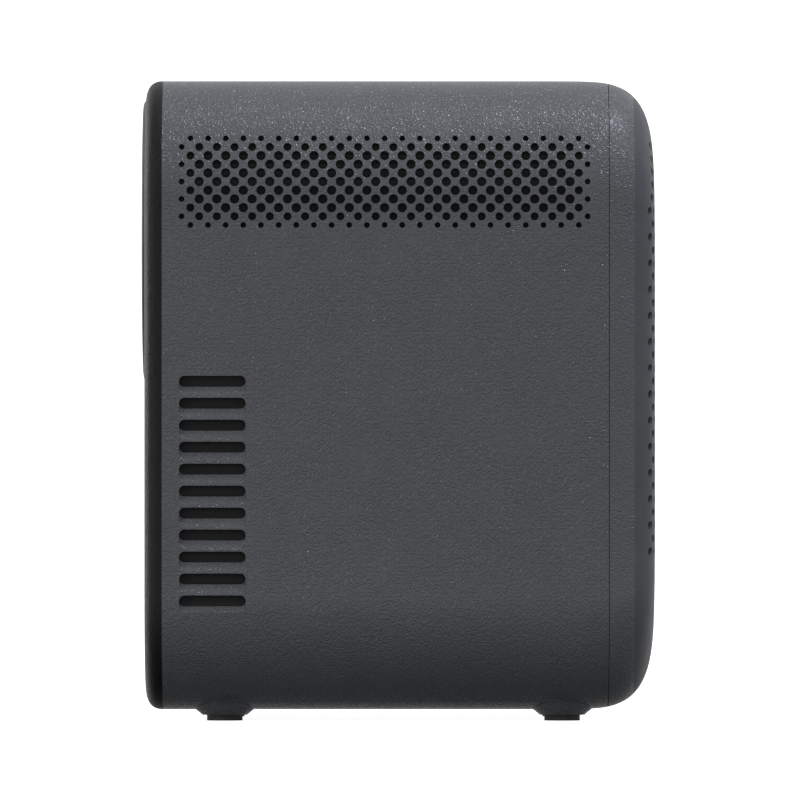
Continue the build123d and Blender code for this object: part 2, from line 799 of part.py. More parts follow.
with BuildPart() as hinge_pin:
    with BuildSketch(Plane.XY.offset(lid_z - hinge_half - pin_overrun + play)):
        with Locations((hinge_side, hinge_y)):
            Circle(hinge_pin_radius)
    extrude(amount=2 * (hinge_half + pin_overrun - play))
hinge_pin.part.label = "hinge_pin"

with BuildPart() as lid_magnet:
    with BuildSketch(facing_front(lid_under_y)):
        with Locations((catch_x, lid_z)):
            Circle(magnet_disc)
    extrude(amount=-magnet_thickness)
lid_magnet.part.label = "lid_magnet"

with BuildPart() as catch_plate:
    with BuildSketch(facing_front(lid_seat_y)):
        with Locations((catch_x, lid_z)):
            Circle(magnet_disc)
    extrude(amount=1)
catch_plate.part.label = "catch_plate"

# ---------------------------------------------------------------- disc deck
well_under_y = well_floor_y - deck_wall
damper_top_y = deck_plate_y + damper_flange
damper_low_y = deck_plate_y - deck_plate - damper_flange

arm_place = 0.93              # middle of an ear's arm, as a share of the way out to its screw
slot_reach = sled_inner + sled_travel + lens_boss_radius + 0.6

with BuildPart() as disc_deck:
    with BuildSketch(facing_front(pad_y)):
        with Locations((0, lid_z)):
            Circle(well_radius + deck_wall)
    extrude(amount=pad_y - well_under_y)
    with BuildSketch(facing_front(pad_y)):
        with Locations((0, lid_z)):
            Circle(well_radius)
    extrude(amount=pad_y - well_floor_y, mode=Mode.SUBTRACT)
    with BuildSketch(facing_front(ear_y)):
        with Locations(*ear_places):
            Circle(post_radius)
        for x, z in ear_places:
            outward = degrees(atan2(z - lid_z, x))
            with Locations(Location((x * arm_place, lid_z + (z - lid_z) * arm_place, 0), (0, 0, outward))):
                Rectangle(2 * ear_reach * (1 - arm_place), 2 * post_radius)
    extrude(amount=ear_thickness)
    with BuildSketch(facing_front(well_floor_y + 5)):
        with Locations((0, lid_z)):
            Circle(well_radius)
    extrude(amount=5, mode=Mode.SUBTRACT)
    with BuildSketch(facing_front(well_under_y)):
        with Locations(*damper_places):
            Circle(deck_post_radius)
    extrude(amount=well_under_y - damper_top_y)
    with BuildSketch(facing_front(damper_top_y)):
        with Locations(*damper_places):
            Circle(damper_pin)
    extrude(amount=damper_top_y - damper_low_y)
    with BuildSketch(facing_front(well_floor_y + overrun)):
        with Locations((0, lid_z - slot_reach / 2)):
            Rectangle(2 * hub_opening, slot_reach)
        with Locations((0, lid_z)):
            Circle(well_radius - fit_gap, mode=Mode.INTERSECT)
        with Locations((0, lid_z)):
            Circle(hub_opening)
    extrude(amount=deck_wall + 2 * overrun, mode=Mode.SUBTRACT)
    with BuildSketch(facing_front(well_floor_y + 5)):
        with Locations(*ear_places):
            Circle(screw_radius + play)
    extrude(amount=4, mode=Mode.SUBTRACT)
    with BuildSketch(facing_front(damper_low_y)):
        with Locations(*damper_places):
            Circle(damper_screw + play)
    extrude(amount=-7, mode=Mode.SUBTRACT)
disc_deck.part.label = "disc_deck"

# Carrier plate of the disc drive: rod holders stand on it, dampers hang it from the deck
rest_sled_z = lid_z - sled_inner
holder_thickness = 4.0
rod_top_z = rest_sled_z + sled_length / 2 + 3
rod_low_z = rest_sled_z - sled_travel - sled_length / 2 - 4
rod_y = deck_plate_y + 4.5
holder_height = 7.0
drive_plate_low = rod_low_z - holder_thickness - 4
drive_plate_high = lid_z + damper_heights[1] + 8

with BuildPart() as deck_chassis:
    with BuildSketch(facing_front(deck_plate_y)):
        with Locations((0, (drive_plate_low + drive_plate_high) / 2)):
            RectangleRounded(2 * damper_side + 14, drive_plate_high - drive_plate_low, 5)
        with Locations((screw_side, drive_plate_low - sled_motor_length / 2)):
            Rectangle(2 * sled_motor_radius + 4, sled_motor_length + 10)
        with Locations(*damper_places):
            Circle(deck_post_radius, mode=Mode.SUBTRACT)
        with Locations((0, lid_z)):
            Circle(4.3, mode=Mode.SUBTRACT)
        with Locations((0, rest_sled_z - sled_travel / 2 - 4)):
            RectangleRounded(2 * rod_side - 12, sled_travel + 12, 4, mode=Mode.SUBTRACT)
    extrude(amount=deck_plate)
    for z in (rod_low_z - holder_thickness, rod_top_z):
        with BuildSketch(Plane.XY.offset(z)):
            for x in (-rod_side, rod_side, screw_side):
                with Locations((x, deck_plate_y + holder_height / 2 - 0.25)):
                    Rectangle(7, holder_height + 0.5)
        extrude(amount=holder_thickness)
    with BuildSketch(Plane.XY.offset(drive_plate_low)):
        with Locations((-rod_side, rod_y), (rod_side, rod_y)):
            Circle(rod_radius + play / 2)
        with Locations((screw_side, rod_y)):
            Circle(lead_radius + play)
    extrude(amount=rod_top_z + holder_thickness - 1 - drive_plate_low, mode=Mode.SUBTRACT)
deck_chassis.part.label = "deck_chassis"

with BuildPart() as deck_dampers:
    with BuildSketch(facing_front(damper_top_y)):
        with Locations(*damper_places):
            Circle(damper_radius)
    extrude(amount=damper_top_y - deck_plate_y)
    with BuildSketch(facing_front(deck_plate_y)):
        with Locations(*damper_places):
            Circle(deck_post_radius - play)
    extrude(amount=deck_plate)
    with BuildSketch(facing_front(deck_plate_y - deck_plate)):
        with Locations(*damper_places):
            Circle(damper_radius)
    extrude(amount=damper_flange)
    with BuildSketch(facing_front(damper_top_y)):
        with Locations(*damper_places):
            Circle(damper_pin + play)
    extrude(amount=damper_top_y - damper_low_y, mode=Mode.SUBTRACT)
deck_dampers.part.label = "deck_dampers"

motor_top_y = deck_plate_y - deck_plate
spindle_end_y = motor_top_y - spindle_motor_length + 2
with BuildPart() as spindle_motor:
    with BuildSketch(facing_front(motor_top_y)):
        with Locations((0, lid_z)):
            Circle(spindle_motor_radius)
    extrude(amount=spindle_motor_length)
    with BuildSketch(facing_front(deck_plate_y + 1)):
        with Locations((0, lid_z)):
            Circle(4)
    extrude(amount=deck_plate + 1)
    with BuildSketch(facing_front(deck_plate_y + 2)):
        with Locations((0, lid_z)):
            Circle(spindle_radius + play)
    extrude(amount=deck_plate_y + 2 - spindle_end_y + fit_gap, mode=Mode.SUBTRACT)
spindle_motor.part.label = "spindle_motor"

platter_y = well_floor_y + platter_lift
hub_shoulder_y = platter_y + hub_height - hub_cone
with BuildPart() as turntable:
    with BuildSketch(facing_front(platter_y)):
        with Locations((0, lid_z)):
            Circle(platter_radius)
    extrude(amount=platter_thickness)
    with BuildSketch(facing_front(hub_shoulder_y)):
        with Locations((0, lid_z)):
            Circle(hub_radius)
    extrude(amount=hub_shoulder_y - platter_y)
    with BuildSketch(facing_front(hub_shoulder_y)):
        with Locations((0, lid_z)):
            Circle(hub_radius)
    extrude(amount=-hub_cone, taper=40)
    for turn in (0, 120, 240):
        ball_x = ball_circle * cos(radians(turn))
        ball_z = lid_z + ball_circle * sin(radians(turn))
        with Locations((ball_x, platter_y + 2, ball_z)):
            Sphere(ball_radius)
    with BuildSketch(facing_front(platter_y - platter_thickness + 0.5)):
        with Locations((0, lid_z)):
            Circle(spindle_radius)
    extrude(amount=platter_y - platter_thickness + 0.5 - spindle_end_y)
turntable.part.label = "turntable"

sled_low_y = deck_plate_y + 1
sled_top_y = sled_low_y + sled_thickness
with BuildPart() as pickup_sled:
    with BuildSketch(facing_front(sled_top_y)):
        with Locations((0, rest_sled_z)):
            RectangleRounded(2 * sled_half_width, sled_length, 3)
        with Locations((screw_side - 2.5, rest_sled_z)):
            Rectangle(9, 8)
    extrude(amount=sled_thickness)
    with BuildSketch(facing_front(sled_top_y)):
        with Locations((0, rest_sled_z)):
            Circle(lens_boss_radius)
    extrude(amount=-lens_boss)
    with BuildSketch(facing_front(sled_top_y + 2)):
        with Locations((0, rest_sled_z)):
            Circle(eye_radius + play)
    extrude(amount=2, mode=Mode.SUBTRACT)
    with BuildSketch(Plane.XY.offset(rest_sled_z - sled_length)):
        with Locations((rod_side, rod_y)):
            Circle(rod_radius + play)
        with Locations((-rod_side - 3, rod_y)):
            Rectangle(2 * (rod_radius + play) + 6, 2 * (rod_radius + play))
        with Locations((screw_side, rod_y)):
            Circle(lead_radius + 2 * play)
    extrude(amount=2 * sled_length, mode=Mode.SUBTRACT)
pickup_sled.part.label = "pickup_sled"

with BuildPart() as pickup_lens:
    with BuildSketch(facing_front(sled_top_y)):
        with Locations((0, rest_sled_z)):
            Circle(eye_radius)
    extrude(amount=-lens_boss)
    with BuildSketch(facing_front(sled_top_y + lens_boss)):
        with Locations((0, rest_sled_z)):
            Circle(eye_radius)
    extrude(amount=-0.5, taper=50)
pickup_lens.part.label = "pickup_lens"

with BuildPart() as guide_rods:
    with BuildSketch(Plane.XY.offset(rod_low_z - holder_thickness)):
        with Locations((-rod_side, rod_y), (rod_side, rod_y)):
            Circle(rod_radius)
    extrude(amount=rod_top_z + holder_thickness - 1 - play - (rod_low_z - holder_thickness))
guide_rods.part.label = "guide_rods"

sled_motor_top = rod_low_z - holder_thickness - 0.2
with BuildPart() as lead_screw:
    with BuildSketch(Plane.XY.offset(sled_motor_top - 4)):
        with Locations((screw_side, rod_y)):
            Circle(lead_radius)
    extrude(amount=rod_top_z + holder_thickness - 1 - play - (sled_motor_top - 4))
lead_screw.part.label = "lead_screw"

with BuildPart() as sled_motor:
    with BuildSketch(Plane.XY.offset(sled_motor_top)):
        with Locations((screw_side, rod_y)):
            Circle(sled_motor_radius)
    extrude(amount=-sled_motor_length)
    with BuildSketch(Plane.XY.offset(sled_motor_top)):
        with Locations((screw_side, rod_y)):
            Circle(lead_radius + play)
    extrude(amount=-4.3, mode=Mode.SUBTRACT)
sled_motor.part.label = "sled_motor"

# ---------------------------------------------------------------- lens, focus ring and focus drive
tube_inner = barrel_radius + 2 * play
tube_outer = tube_inner + tube_wall
ring_inner = tube_outer + 2 * play
ring_outer = ring_inner + ring_wall
mount_y = engine_front_y - 3
barrel_front_y = front_y + barrel_setback
barrel_back_y = barrel_front_y + barrel_length
tube_front_y = barrel_front_y + 9
gear_front_y = tube_front_y + 2
gear_back_y = gear_front_y + gear_width
cam_start_y = gear_back_y + focus_travel + 4
ring_back_y = gear_front_y + ring_length

with BuildPart() as bezel_ring:
    with BuildSketch(Plane.XY):
        with BuildLine():
            Polyline(
                (lens_opening - 2.5, front_y + 0.3),
                (lens_opening - fit_gap, front_y + 0.3),
                (lens_opening - fit_gap, grille_inner_y + play),
                (lens_opening + bezel_flange, grille_inner_y + play),
                (lens_opening + bezel_flange, grille_inner_y + 2),
                (bezel_inner + 5, grille_inner_y + 2),
                (bezel_inner + 2, front_y + 12),
                (bezel_inner, front_y + 12),
                (bezel_inner, front_y + 8),
                close=True,
            )
        make_face()
    revolve(axis=Axis.Y)
placed_bezel_ring = Pos(0, 0, lens_z) * bezel_ring.part

with BuildPart() as lens_bezel:
    add(placed_bezel_ring)
lens_bezel.part.label = "lens_bezel"

with BuildPart() as lens_mount:
    with BuildSketch(facing_front(engine_front_y)):
        with Locations((0, lens_z)):
            RectangleRounded(engine_width, engine_width, 4)
            Circle(tube_inner, mode=Mode.SUBTRACT)
    extrude(amount=engine_front_y - mount_y)
    with BuildSketch(facing_front(mount_y)):
        with Locations((0, lens_z)):
            Circle(tube_outer)
            Circle(tube_inner, mode=Mode.SUBTRACT)
    extrude(amount=mount_y - tube_front_y)
    # slot along the tube for the cam pin
    with BuildSketch(Plane.XY.offset(lens_z)):
        with Locations((0, cam_start_y - focus_travel / 2)):
            slot_width = 2 * cam_pin_radius + 0.4
            RectangleRounded(slot_width, focus_travel + slot_width + 0.4, cam_pin_radius)
    extrude(amount=tube_outer + 1, mode=Mode.SUBTRACT)
lens_mount.part.label = "lens_mount"

with BuildPart() as lens_barrel:
    with BuildSketch(facing_front(barrel_back_y)):
        with Locations((0, lens_z)):
            Circle(barrel_radius)
            Circle(barrel_radius - barrel_wall, mode=Mode.SUBTRACT)
    extrude(amount=barrel_length)
    with BuildSketch(Plane.XY.offset(lens_z + barrel_radius - barrel_wall / 2)):
        with Locations((0, cam_start_y)):
            Circle(cam_pin_radius)
    extrude(amount=ring_outer - 0.5 - (barrel_radius - barrel_wall / 2))
lens_barrel.part.label = "lens_barrel"

glass_radius = barrel_radius - barrel_wall - 0.2


def lens_glass(front, edge, bulge):
    """One lens turned about the lens axis: front edge, edge thickness and how far both faces bulge."""
    with BuildPart() as glass:
        with BuildSketch(Plane.XY):
            with BuildLine():
                curve_radius = (glass_radius**2 + bulge**2) / (2 * bulge)
                side_x = glass_radius * 0.5
                side_bulge = bulge - curve_radius + sqrt(curve_radius**2 - side_x**2)
                back = front + edge
                ThreePointArc((0, front - bulge), (side_x, front - side_bulge), (glass_radius, front))
                Line((glass_radius, front), (glass_radius, back))
                ThreePointArc((glass_radius, back), (side_x, back + side_bulge), (0, back + bulge))
                Line((0, back + bulge), (0, front - bulge))
            make_face()
        revolve(axis=Axis.Y)
    return Pos(0, 0, lens_z) * glass.part


with BuildPart() as lens_elements:
    add(lens_glass(barrel_front_y + 7, 3.0, 4.0))
    add(lens_glass(barrel_front_y + 20, 3.0, 1.0))
    add(lens_glass(barrel_back_y - 8, 3.0, 2.5))
lens_elements.part.label = "lens_elements"


def gear_points(teeth, first_angle):
    """Corners of straight-flanked teeth; a tooth stands at first_angle, in degrees."""
    pitch_radius = gear_module * teeth / 2
    half = (pi * gear_module / 2 - gear_backlash) / 2
    slope = tan(radians(20))
    root = pitch_radius - 1.25 * gear_module
    tip = pitch_radius + gear_module
    root_half = (half + 1.25 * gear_module * slope) / root
    tip_half = (half - gear_module * slope) / tip
    corners = []
    for tooth in range(teeth):
        middle = radians(first_angle + 360 * tooth / teeth)
        for radius, offset in ((root, -root_half), (tip, -tip_half), (tip, tip_half), (root, root_half)):
            corners.append((radius * cos(middle + offset), radius * sin(middle + offset)))
    return corners


# Cam slot: it winds a quarter turn while it moves along by the focus travel
cam_steps = 12
cam_step_length = 2 * ring_outer * tan(radians(focus_turn / cam_steps / 2))
cam_slope = degrees(atan2(focus_travel / cam_steps, cam_step_length))
cam_block = Box(cam_step_length + 1, 2 * cam_pin_radius + 1, ring_outer + 1, align=standing)
cam_cuts = []
for step in range(cam_steps + 1):
    turn = radians(focus_turn * step / cam_steps)
    along = cam_start_y - focus_travel * step / cam_steps
    outward = Vector(sin(turn), 0, cos(turn))
    cut_plane = Plane(origin=(0, along, lens_z), x_dir=(cos(turn), 0, -sin(turn)), z_dir=outward)
    cam_cuts.append(cut_plane * Rot(0, 0, cam_slope) * cam_block)

with BuildPart() as focus_ring:
    with BuildSketch(facing_front(ring_back_y)):
        with Locations((0, lens_z)):
            Circle(ring_outer)
            Circle(ring_inner, mode=Mode.SUBTRACT)
    extrude(amount=ring_length)
    add(cam_cuts, mode=Mode.SUBTRACT)
    with BuildSketch(facing_front(gear_back_y)):
        with Locations((0, lens_z)):
            with BuildLine():
                Polyline(*[(x, lens_z + z) for x, z in gear_points(ring_teeth, pinion_angle)], close=True)
        make_face()
        with Locations((0, lens_z)):
            Circle(ring_inner, mode=Mode.SUBTRACT)
    extrude(amount=gear_width)
focus_ring.part.label = "focus_ring"

with BuildPart() as focus_pinion:
    with BuildSketch(facing_front(gear_back_y - 0.5)):
        with BuildLine():
            teeth = gear_points(pinion_teeth, pinion_angle + 180 + 180 / pinion_teeth)
            Polyline(*[(pinion_x + x, pinion_z + z) for x, z in teeth], close=True)
        make_face()
    extrude(amount=gear_width - 1)
    with BuildSketch(facing_front(gear_back_y + 9)):
        with Locations((pinion_x, pinion_z)):
            Circle(pinion_shaft)
    extrude(amount=10)
focus_pinion.part.label = "focus_pinion"

with BuildPart() as focus_motor:
    with BuildSketch(facing_front(mount_y)):
        with Locations((pinion_x, pinion_z)):
            Circle(focus_motor_radius)
    extrude(amount=focus_motor_length)
    with BuildSketch(facing_front(mount_y - focus_motor_length)):
        with Locations((pinion_x, pinion_z)):
            Circle(pinion_shaft + play)
    extrude(amount=-9.5, mode=Mode.SUBTRACT)
focus_motor.part.label = "focus_motor"

# ---------------------------------------------------------------- light engine
cavity = engine_width - 2 * engine_wall
cavity_length = engine_length - 2 * engine_wall
mirror_plane = Plane(origin=(0, engine_middle_y, lens_z), x_dir=(1, 0, 0), z_dir=(0, 1, 1))
roof_inner = mirror_plane.offset(mirror_thickness + fit_gap)
roof_outer = mirror_plane.offset(mirror_thickness + fit_gap + engine_wall)
engine_top = lens_z + engine_length / 2 - 2

with BuildPart() as engine_cavity:
    with BuildSketch(Plane.XY.offset(engine_z - 1)):
        with Locations((0, engine_middle_y)):
            Rectangle(cavity, cavity_length)
    extrude(amount=engine_top - engine_wall - engine_z + 1)
    split(bisect_by=roof_inner, keep=Keep.BOTTOM)

board_standoffs = [
    (y, z) for y in (engine_middle_y - 30, engine_middle_y + 30) for z in (engine_z + 24, engine_z + 92)
]

with BuildPart() as engine_case:
    with BuildSketch(Plane.XY.offset(engine_z)):
        with Locations((0, engine_middle_y)):
            Rectangle(engine_width, engine_length)
    extrude(amount=engine_top - engine_z)
    split(bisect_by=roof_outer, keep=Keep.BOTTOM)
    add(engine_cavity.part, mode=Mode.SUBTRACT)
    with BuildSketch(facing_front(engine_front_y + engine_wall + 1)):
        with Locations((0, lens_z)):
            Circle(glass_radius)
    extrude(amount=engine_wall + 2, mode=Mode.SUBTRACT)
    for side in (-1, 1):
        with BuildSketch(Plane.YZ.offset(side * (engine_width / 2 - 0.5))):
            with Locations(*board_standoffs):
                Circle(3)
        extrude(amount=side * (standoff_length + 0.5))
engine_case.part.label = "engine_case"

with BuildPart() as fold_mirror:
    with BuildSketch(mirror_plane):
        Rectangle(cavity - 1, cavity_length * sqrt(2) - 12)
    extrude(amount=mirror_thickness)
fold_mirror.part.label = "fold_mirror"


def tunnel_plate(height, thickness):
    """Flat plate that fills the inside of the engine case at a height above its underside."""
    with BuildPart() as plate:
        with BuildSketch(Plane.XY.offset(engine_z + height)):
            with Locations((0, engine_middle_y)):
                Rectangle(cavity - 2 * fit_gap, cavity_length - 2 * fit_gap)
        extrude(amount=thickness)
    return plate.part


with BuildPart() as lcd_panel:
    add(tunnel_plate(lcd_height, 1.5))
lcd_panel.part.label = "lcd_panel"

with BuildPart() as field_lens:
    add(tunnel_plate(field_height, 2.0))
field_lens.part.label = "field_lens"

with BuildPart() as condenser_lens:
    add(tunnel_plate(condenser_height, 2.0))
    with BuildSketch(Plane.XY.offset(engine_z + condenser_height + 1)):
        with Locations((0, engine_middle_y)):
            Circle(cavity / 2 - 3)
    extrude(amount=7, taper=35)
condenser_lens.part.label = "condenser_lens"

with BuildPart() as light_funnel:
    for inset in (0, 1.2):
        with BuildSketch(Plane.XY.offset(engine_z)):
            with Locations((0, engine_middle_y)):
                Rectangle(led_side - 2 * inset, led_side - 2 * inset)
        with BuildSketch(Plane.XY.offset(engine_z + funnel_height)):
            with Locations((0, engine_middle_y)):
                Rectangle(cavity - 2 * fit_gap - 2 * inset, cavity_length - 2 * fit_gap - 2 * inset)
        loft(ruled=True, mode=Mode.ADD if inset == 0 else Mode.SUBTRACT)
light_funnel.part.label = "light_funnel"

led_board_z = engine_z - board_thickness
with BuildPart() as led_board:
    with BuildSketch(Plane.XY.offset(led_board_z)):
        with Locations((0, engine_middle_y)):
            RectangleRounded(engine_width, engine_length, 3)
    extrude(amount=board_thickness)
    with BuildSketch(Plane.XY.offset(engine_z)):
        with Locations((0, engine_middle_y)):
            Rectangle(led_side / 2, led_side / 2)
    extrude(amount=1.2)
led_board.part.label = "led_board"

fin_pitch = (heat_sink_side - fin_thickness) / (fin_count - 1)
with BuildPart() as heat_sink:
    with BuildSketch(Plane.XY.offset(led_board_z)):
        with Locations((0, engine_middle_y)):
            Rectangle(heat_sink_side, heat_sink_side)
    extrude(amount=-heat_sink_base)
    with BuildSketch(Plane.XY.offset(led_board_z - heat_sink_base)):
        with Locations((0, engine_middle_y)):
            with GridLocations(fin_pitch, 1, fin_count, 1):
                Rectangle(fin_thickness, heat_sink_side)
    extrude(amount=-(led_board_z - heat_sink_base - chassis_top_z))
heat_sink.part.label = "heat_sink"

# ---------------------------------------------------------------- chassis plate, bulkhead and fans
chassis_front_y = baffle_back_y + chassis_margin / 4
chassis_back_y = housing_back_y - chassis_margin
chassis_width = 2 * (post_corner_side - web / 2 - chassis_gap)
with BuildPart() as chassis_plate:
    with BuildSketch(Plane.XY.offset(chassis_z)):
        with Locations((0, (chassis_front_y + chassis_back_y) / 2)):
            RectangleRounded(chassis_width, chassis_back_y - chassis_front_y, 4)
        with Locations(*chassis_posts):
            Circle(screw_radius + play, mode=Mode.SUBTRACT)
    extrude(amount=chassis_thickness)
chassis_plate.part.label = "chassis_plate"

bulkhead_back_y = front_y + bulkhead_from_front
bulkhead_top_z = bottom_z + bulkhead_top
with BuildPart() as fan_bulkhead:
    with BuildSketch(facing_front(bulkhead_back_y)):
        with Locations((0, middle_z)):
            lining_gap = wall + fit_gap
            RectangleRounded(
                body_width - 2 * lining_gap, body_height - 2 * lining_gap, side_corner - lining_gap
            )
        with Locations((0, (chassis_top_z + bulkhead_top_z) / 2)):
            Rectangle(body_width, bulkhead_top_z - chassis_top_z, mode=Mode.INTERSECT)
        with Locations(*fan_places):
            Circle(fan_bore, mode=Mode.SUBTRACT)
        for x, z in fan_places:
            with Locations((x, z)):
                with GridLocations(fan_hole_spacing, fan_hole_spacing, 2, 2):
                    Circle(screw_radius + play, mode=Mode.SUBTRACT)
    extrude(amount=bulkhead_thickness)
fan_bulkhead.part.label = "fan_bulkhead"

fan_back_y = bulkhead_back_y + fan_depth
bearing_y = fan_back_y - fan_spider
with BuildPart() as fan_frames:
    with BuildSketch(facing_front(fan_back_y)):
        with Locations(*fan_places):
            RectangleRounded(fan_size, fan_size, 4)
            Circle(fan_bore, mode=Mode.SUBTRACT)
            with GridLocations(fan_hole_spacing, fan_hole_spacing, 2, 2):
                Circle(screw_radius + play, mode=Mode.SUBTRACT)
    extrude(amount=fan_depth)
    with BuildSketch(facing_front(fan_back_y)):
        with Locations(*fan_places):
            Circle(fan_hub - 1)
            with PolarLocations(fan_size / 4 + 5, 4):
                Rectangle(fan_size / 2 - 10, 4)
        with Locations(*fan_places):
            Circle(fan_shaft + play, mode=Mode.SUBTRACT)
    extrude(amount=fan_spider)
fan_frames.part.label = "fan_frames"

blade_tip = fan_bore - 1.7
rotor_front_y = bulkhead_back_y + 2
rotor_back_y = bearing_y - 0.6


def fan_rotor(x, z):
    """Cup hub, twisted blades and shaft of one fan."""
    middle_y = (rotor_front_y + rotor_back_y) / 2
    with BuildPart() as rotor:
        with BuildSketch(facing_front(rotor_back_y)):
            with Locations((x, z)):
                Circle(fan_hub)
        extrude(amount=rotor_back_y - rotor_front_y)
        for blade in range(fan_blades):
            turn = radians(360 * blade / fan_blades)
            outward = Vector(cos(turn), 0, sin(turn))
            for radius, (chord, thickness, pitch) in ((fan_hub - 1, blade_root), (blade_tip, blade_end)):
                centre = Vector(x, middle_y, z) + outward * radius
                with BuildSketch(Plane(origin=centre, x_dir=(0, 1, 0), z_dir=outward)):
                    with Locations(Location((0, 0, 0), (0, 0, pitch))):
                        Rectangle(thickness, chord)
            loft(ruled=True)
        with BuildSketch(facing_front(fan_back_y - 0.5)):
            with Locations((x, z)):
                Circle(fan_shaft)
        extrude(amount=fan_back_y - 0.5 - rotor_back_y)
    return rotor.part


left_fan_rotor = fan_rotor(*fan_places[0])
left_fan_rotor.label = "left_fan_rotor"
right_fan_rotor = fan_rotor(*fan_places[1])
right_fan_rotor.label = "right_fan_rotor"

# ---------------------------------------------------------------- circuit boards
board_x = engine_width / 2 + standoff_length
board_low_z = engine_z + 12
board_high_z = engine_z + 106
board_front_y = engine_middle_y - 35
board_back_y = engine_middle_y + 62


def side_board(side, chips, cans):
    """Board beside the light engine with box-shaped and round parts on its outer face."""
    outer_x = side * (board_x + board_thickness)
    with BuildPart() as board:
        with BuildSketch(Plane.YZ.offset(side * board_x)):
            with Locations(((board_front_y + board_back_y) / 2, (board_low_z + board_high_z) / 2)):
                Rectangle(board_back_y - board_front_y, board_high_z - board_low_z)
        extrude(amount=side * board_thickness)
        for y, z, length, height, thickness in chips:
            with BuildSketch(Plane.YZ.offset(outer_x)):
                with Locations((engine_middle_y + y, engine_z + z)):
                    Rectangle(length, height)
            extrude(amount=side * thickness)
        for y, z, radius, thickness in cans:
            with BuildSketch(Plane.YZ.offset(outer_x)):
                with Locations((engine_middle_y + y, engine_z + z)):
                    Circle(radius)
            extrude(amount=side * thickness)
    return board.part


with BuildPart() as main_board:
    add(side_board(
        1,
        chips=((4, 62, 26, 26, 6), (36, 70, 14, 18, 1.4), (36, 44, 14, 12, 1.4), (-24, 40, 12, 10, 1.2),
               (52, 92, 12, 6, 5), (52, 24, 12, 6, 5), (-20, 94, 20, 6, 6)),
        cans=((-26, 72, 4, 9), (-26, 60, 4, 9), (20, 26, 3, 8)),
    ))
main_board.part.label = "main_board"

with BuildPart() as power_board:
    add(side_board(
        -1,
        chips=((14, 62, 30, 26, 24), (44, 36, 16, 14, 16), (-18, 92, 22, 8, 8), (44, 92, 20, 4, 18)),
        cans=((-18, 42, 9, 26), (8, 30, 6, 18), (26, 26, 5, 16)),
    ))
power_board.part.label = "power_board"

# ---------------------------------------------------------------- sockets and mains inlet
mouth_y = back_y - socket_recess
socket_back_y = mouth_y - socket_depth
with BuildPart() as socket_board:
    with BuildSketch(facing_front(socket_back_y)):
        with Locations((-20, socket_z + 2)):
            Rectangle(80, 25)
        with Locations(*board_posts):
            Circle(screw_radius + play, mode=Mode.SUBTRACT)
    extrude(amount=board_thickness)
socket_board.part.label = "socket_board"

with BuildPart() as signal_sockets:
    for x, width, height in socket_boxes:
        with BuildSketch(facing_front(mouth_y)):
            with Locations((x, socket_z)):
                Rectangle(width, height)
        extrude(amount=socket_depth)
        with BuildSketch(facing_front(mouth_y)):
            with Locations((x, socket_z)):
                Rectangle(width - 1.6, height - 1.6)
        extrude(amount=socket_depth - 3, mode=Mode.SUBTRACT)
        with BuildSketch(facing_front(mouth_y - 1)):
            with Locations((x, socket_z + height / 8)):
                Rectangle(width - 4, 1.4)
        extrude(amount=socket_depth - 3)
    with BuildSketch(facing_front(mouth_y)):
        with Locations((jack_x, socket_z)):
            Circle(jack_radius)
    extrude(amount=socket_depth)
    with BuildSketch(facing_front(mouth_y)):
        with Locations((jack_x, socket_z)):
            Circle(jack_bore)
    extrude(amount=socket_depth - 3, mode=Mode.SUBTRACT)
signal_sockets.part.label = "signal_sockets"

with BuildPart() as power_inlet:
    with BuildSketch(facing_front(mouth_y)):
        with Locations((inlet_side, socket_z)):
            Rectangle(inlet_width, inlet_height)
    extrude(amount=inlet_depth)
    with BuildSketch(facing_front(cover_inner_y - play)):
        with Locations((inlet_side, socket_z)):
            Rectangle(inlet_width + 5, inlet_height + 4)
    extrude(amount=2)
    with BuildSketch(facing_front(mouth_y)):
        with Locations((inlet_side - 3.7, socket_z), (inlet_side + 3.7, socket_z)):
            Circle(4.2)
        with Locations((inlet_side, socket_z)):
            Rectangle(7.4, 8.4)
    extrude(amount=inlet_depth - 5, mode=Mode.SUBTRACT)
    with BuildSketch(facing_front(mouth_y)):
        with Locations((inlet_side, socket_z)):
            with GridLocations(inlet_pin_spacing, 1, 2, 1):
                Circle(inlet_pin_radius + play / 2)
    extrude(amount=inlet_depth, mode=Mode.SUBTRACT)
power_inlet.part.label = "power_inlet"

with BuildPart() as inlet_pins:
    with BuildSketch(facing_front(mouth_y - 3)):
        with Locations((inlet_side, socket_z)):
            with GridLocations(inlet_pin_spacing, 1, 2, 1):
                Circle(inlet_pin_radius)
    extrude(amount=inlet_depth)
inlet_pins.part.label = "inlet_pins"

# ---------------------------------------------------------------- top buttons and key board
collar_z = top_z - wall - fit_gap
key_board_z = top_z - wall - key_board_drop


def push_button(x, y):
    """Flush cap, collar that keeps it in the housing, and stem towards the switch."""
    with BuildPart() as button:
        with BuildSketch(Plane.XY.offset(top_z)):
            with Locations((x, y)):
                Circle(button_radius)
        extrude(amount=-(wall + fit_gap))
        with BuildSketch(Plane.XY.offset(collar_z)):
            with Locations((x, y)):
                Circle(button_radius + 1.4)
        extrude(amount=-1.5)
        with BuildSketch(Plane.XY.offset(collar_z - 1.5)):
            with Locations((x, y)):
                Circle(2)
        extrude(amount=-(collar_z - 1.5 - key_board_z - key_height - button_travel - fit_gap))
    return button.part


push_buttons = [push_button(x, y) for x, y in button_places]

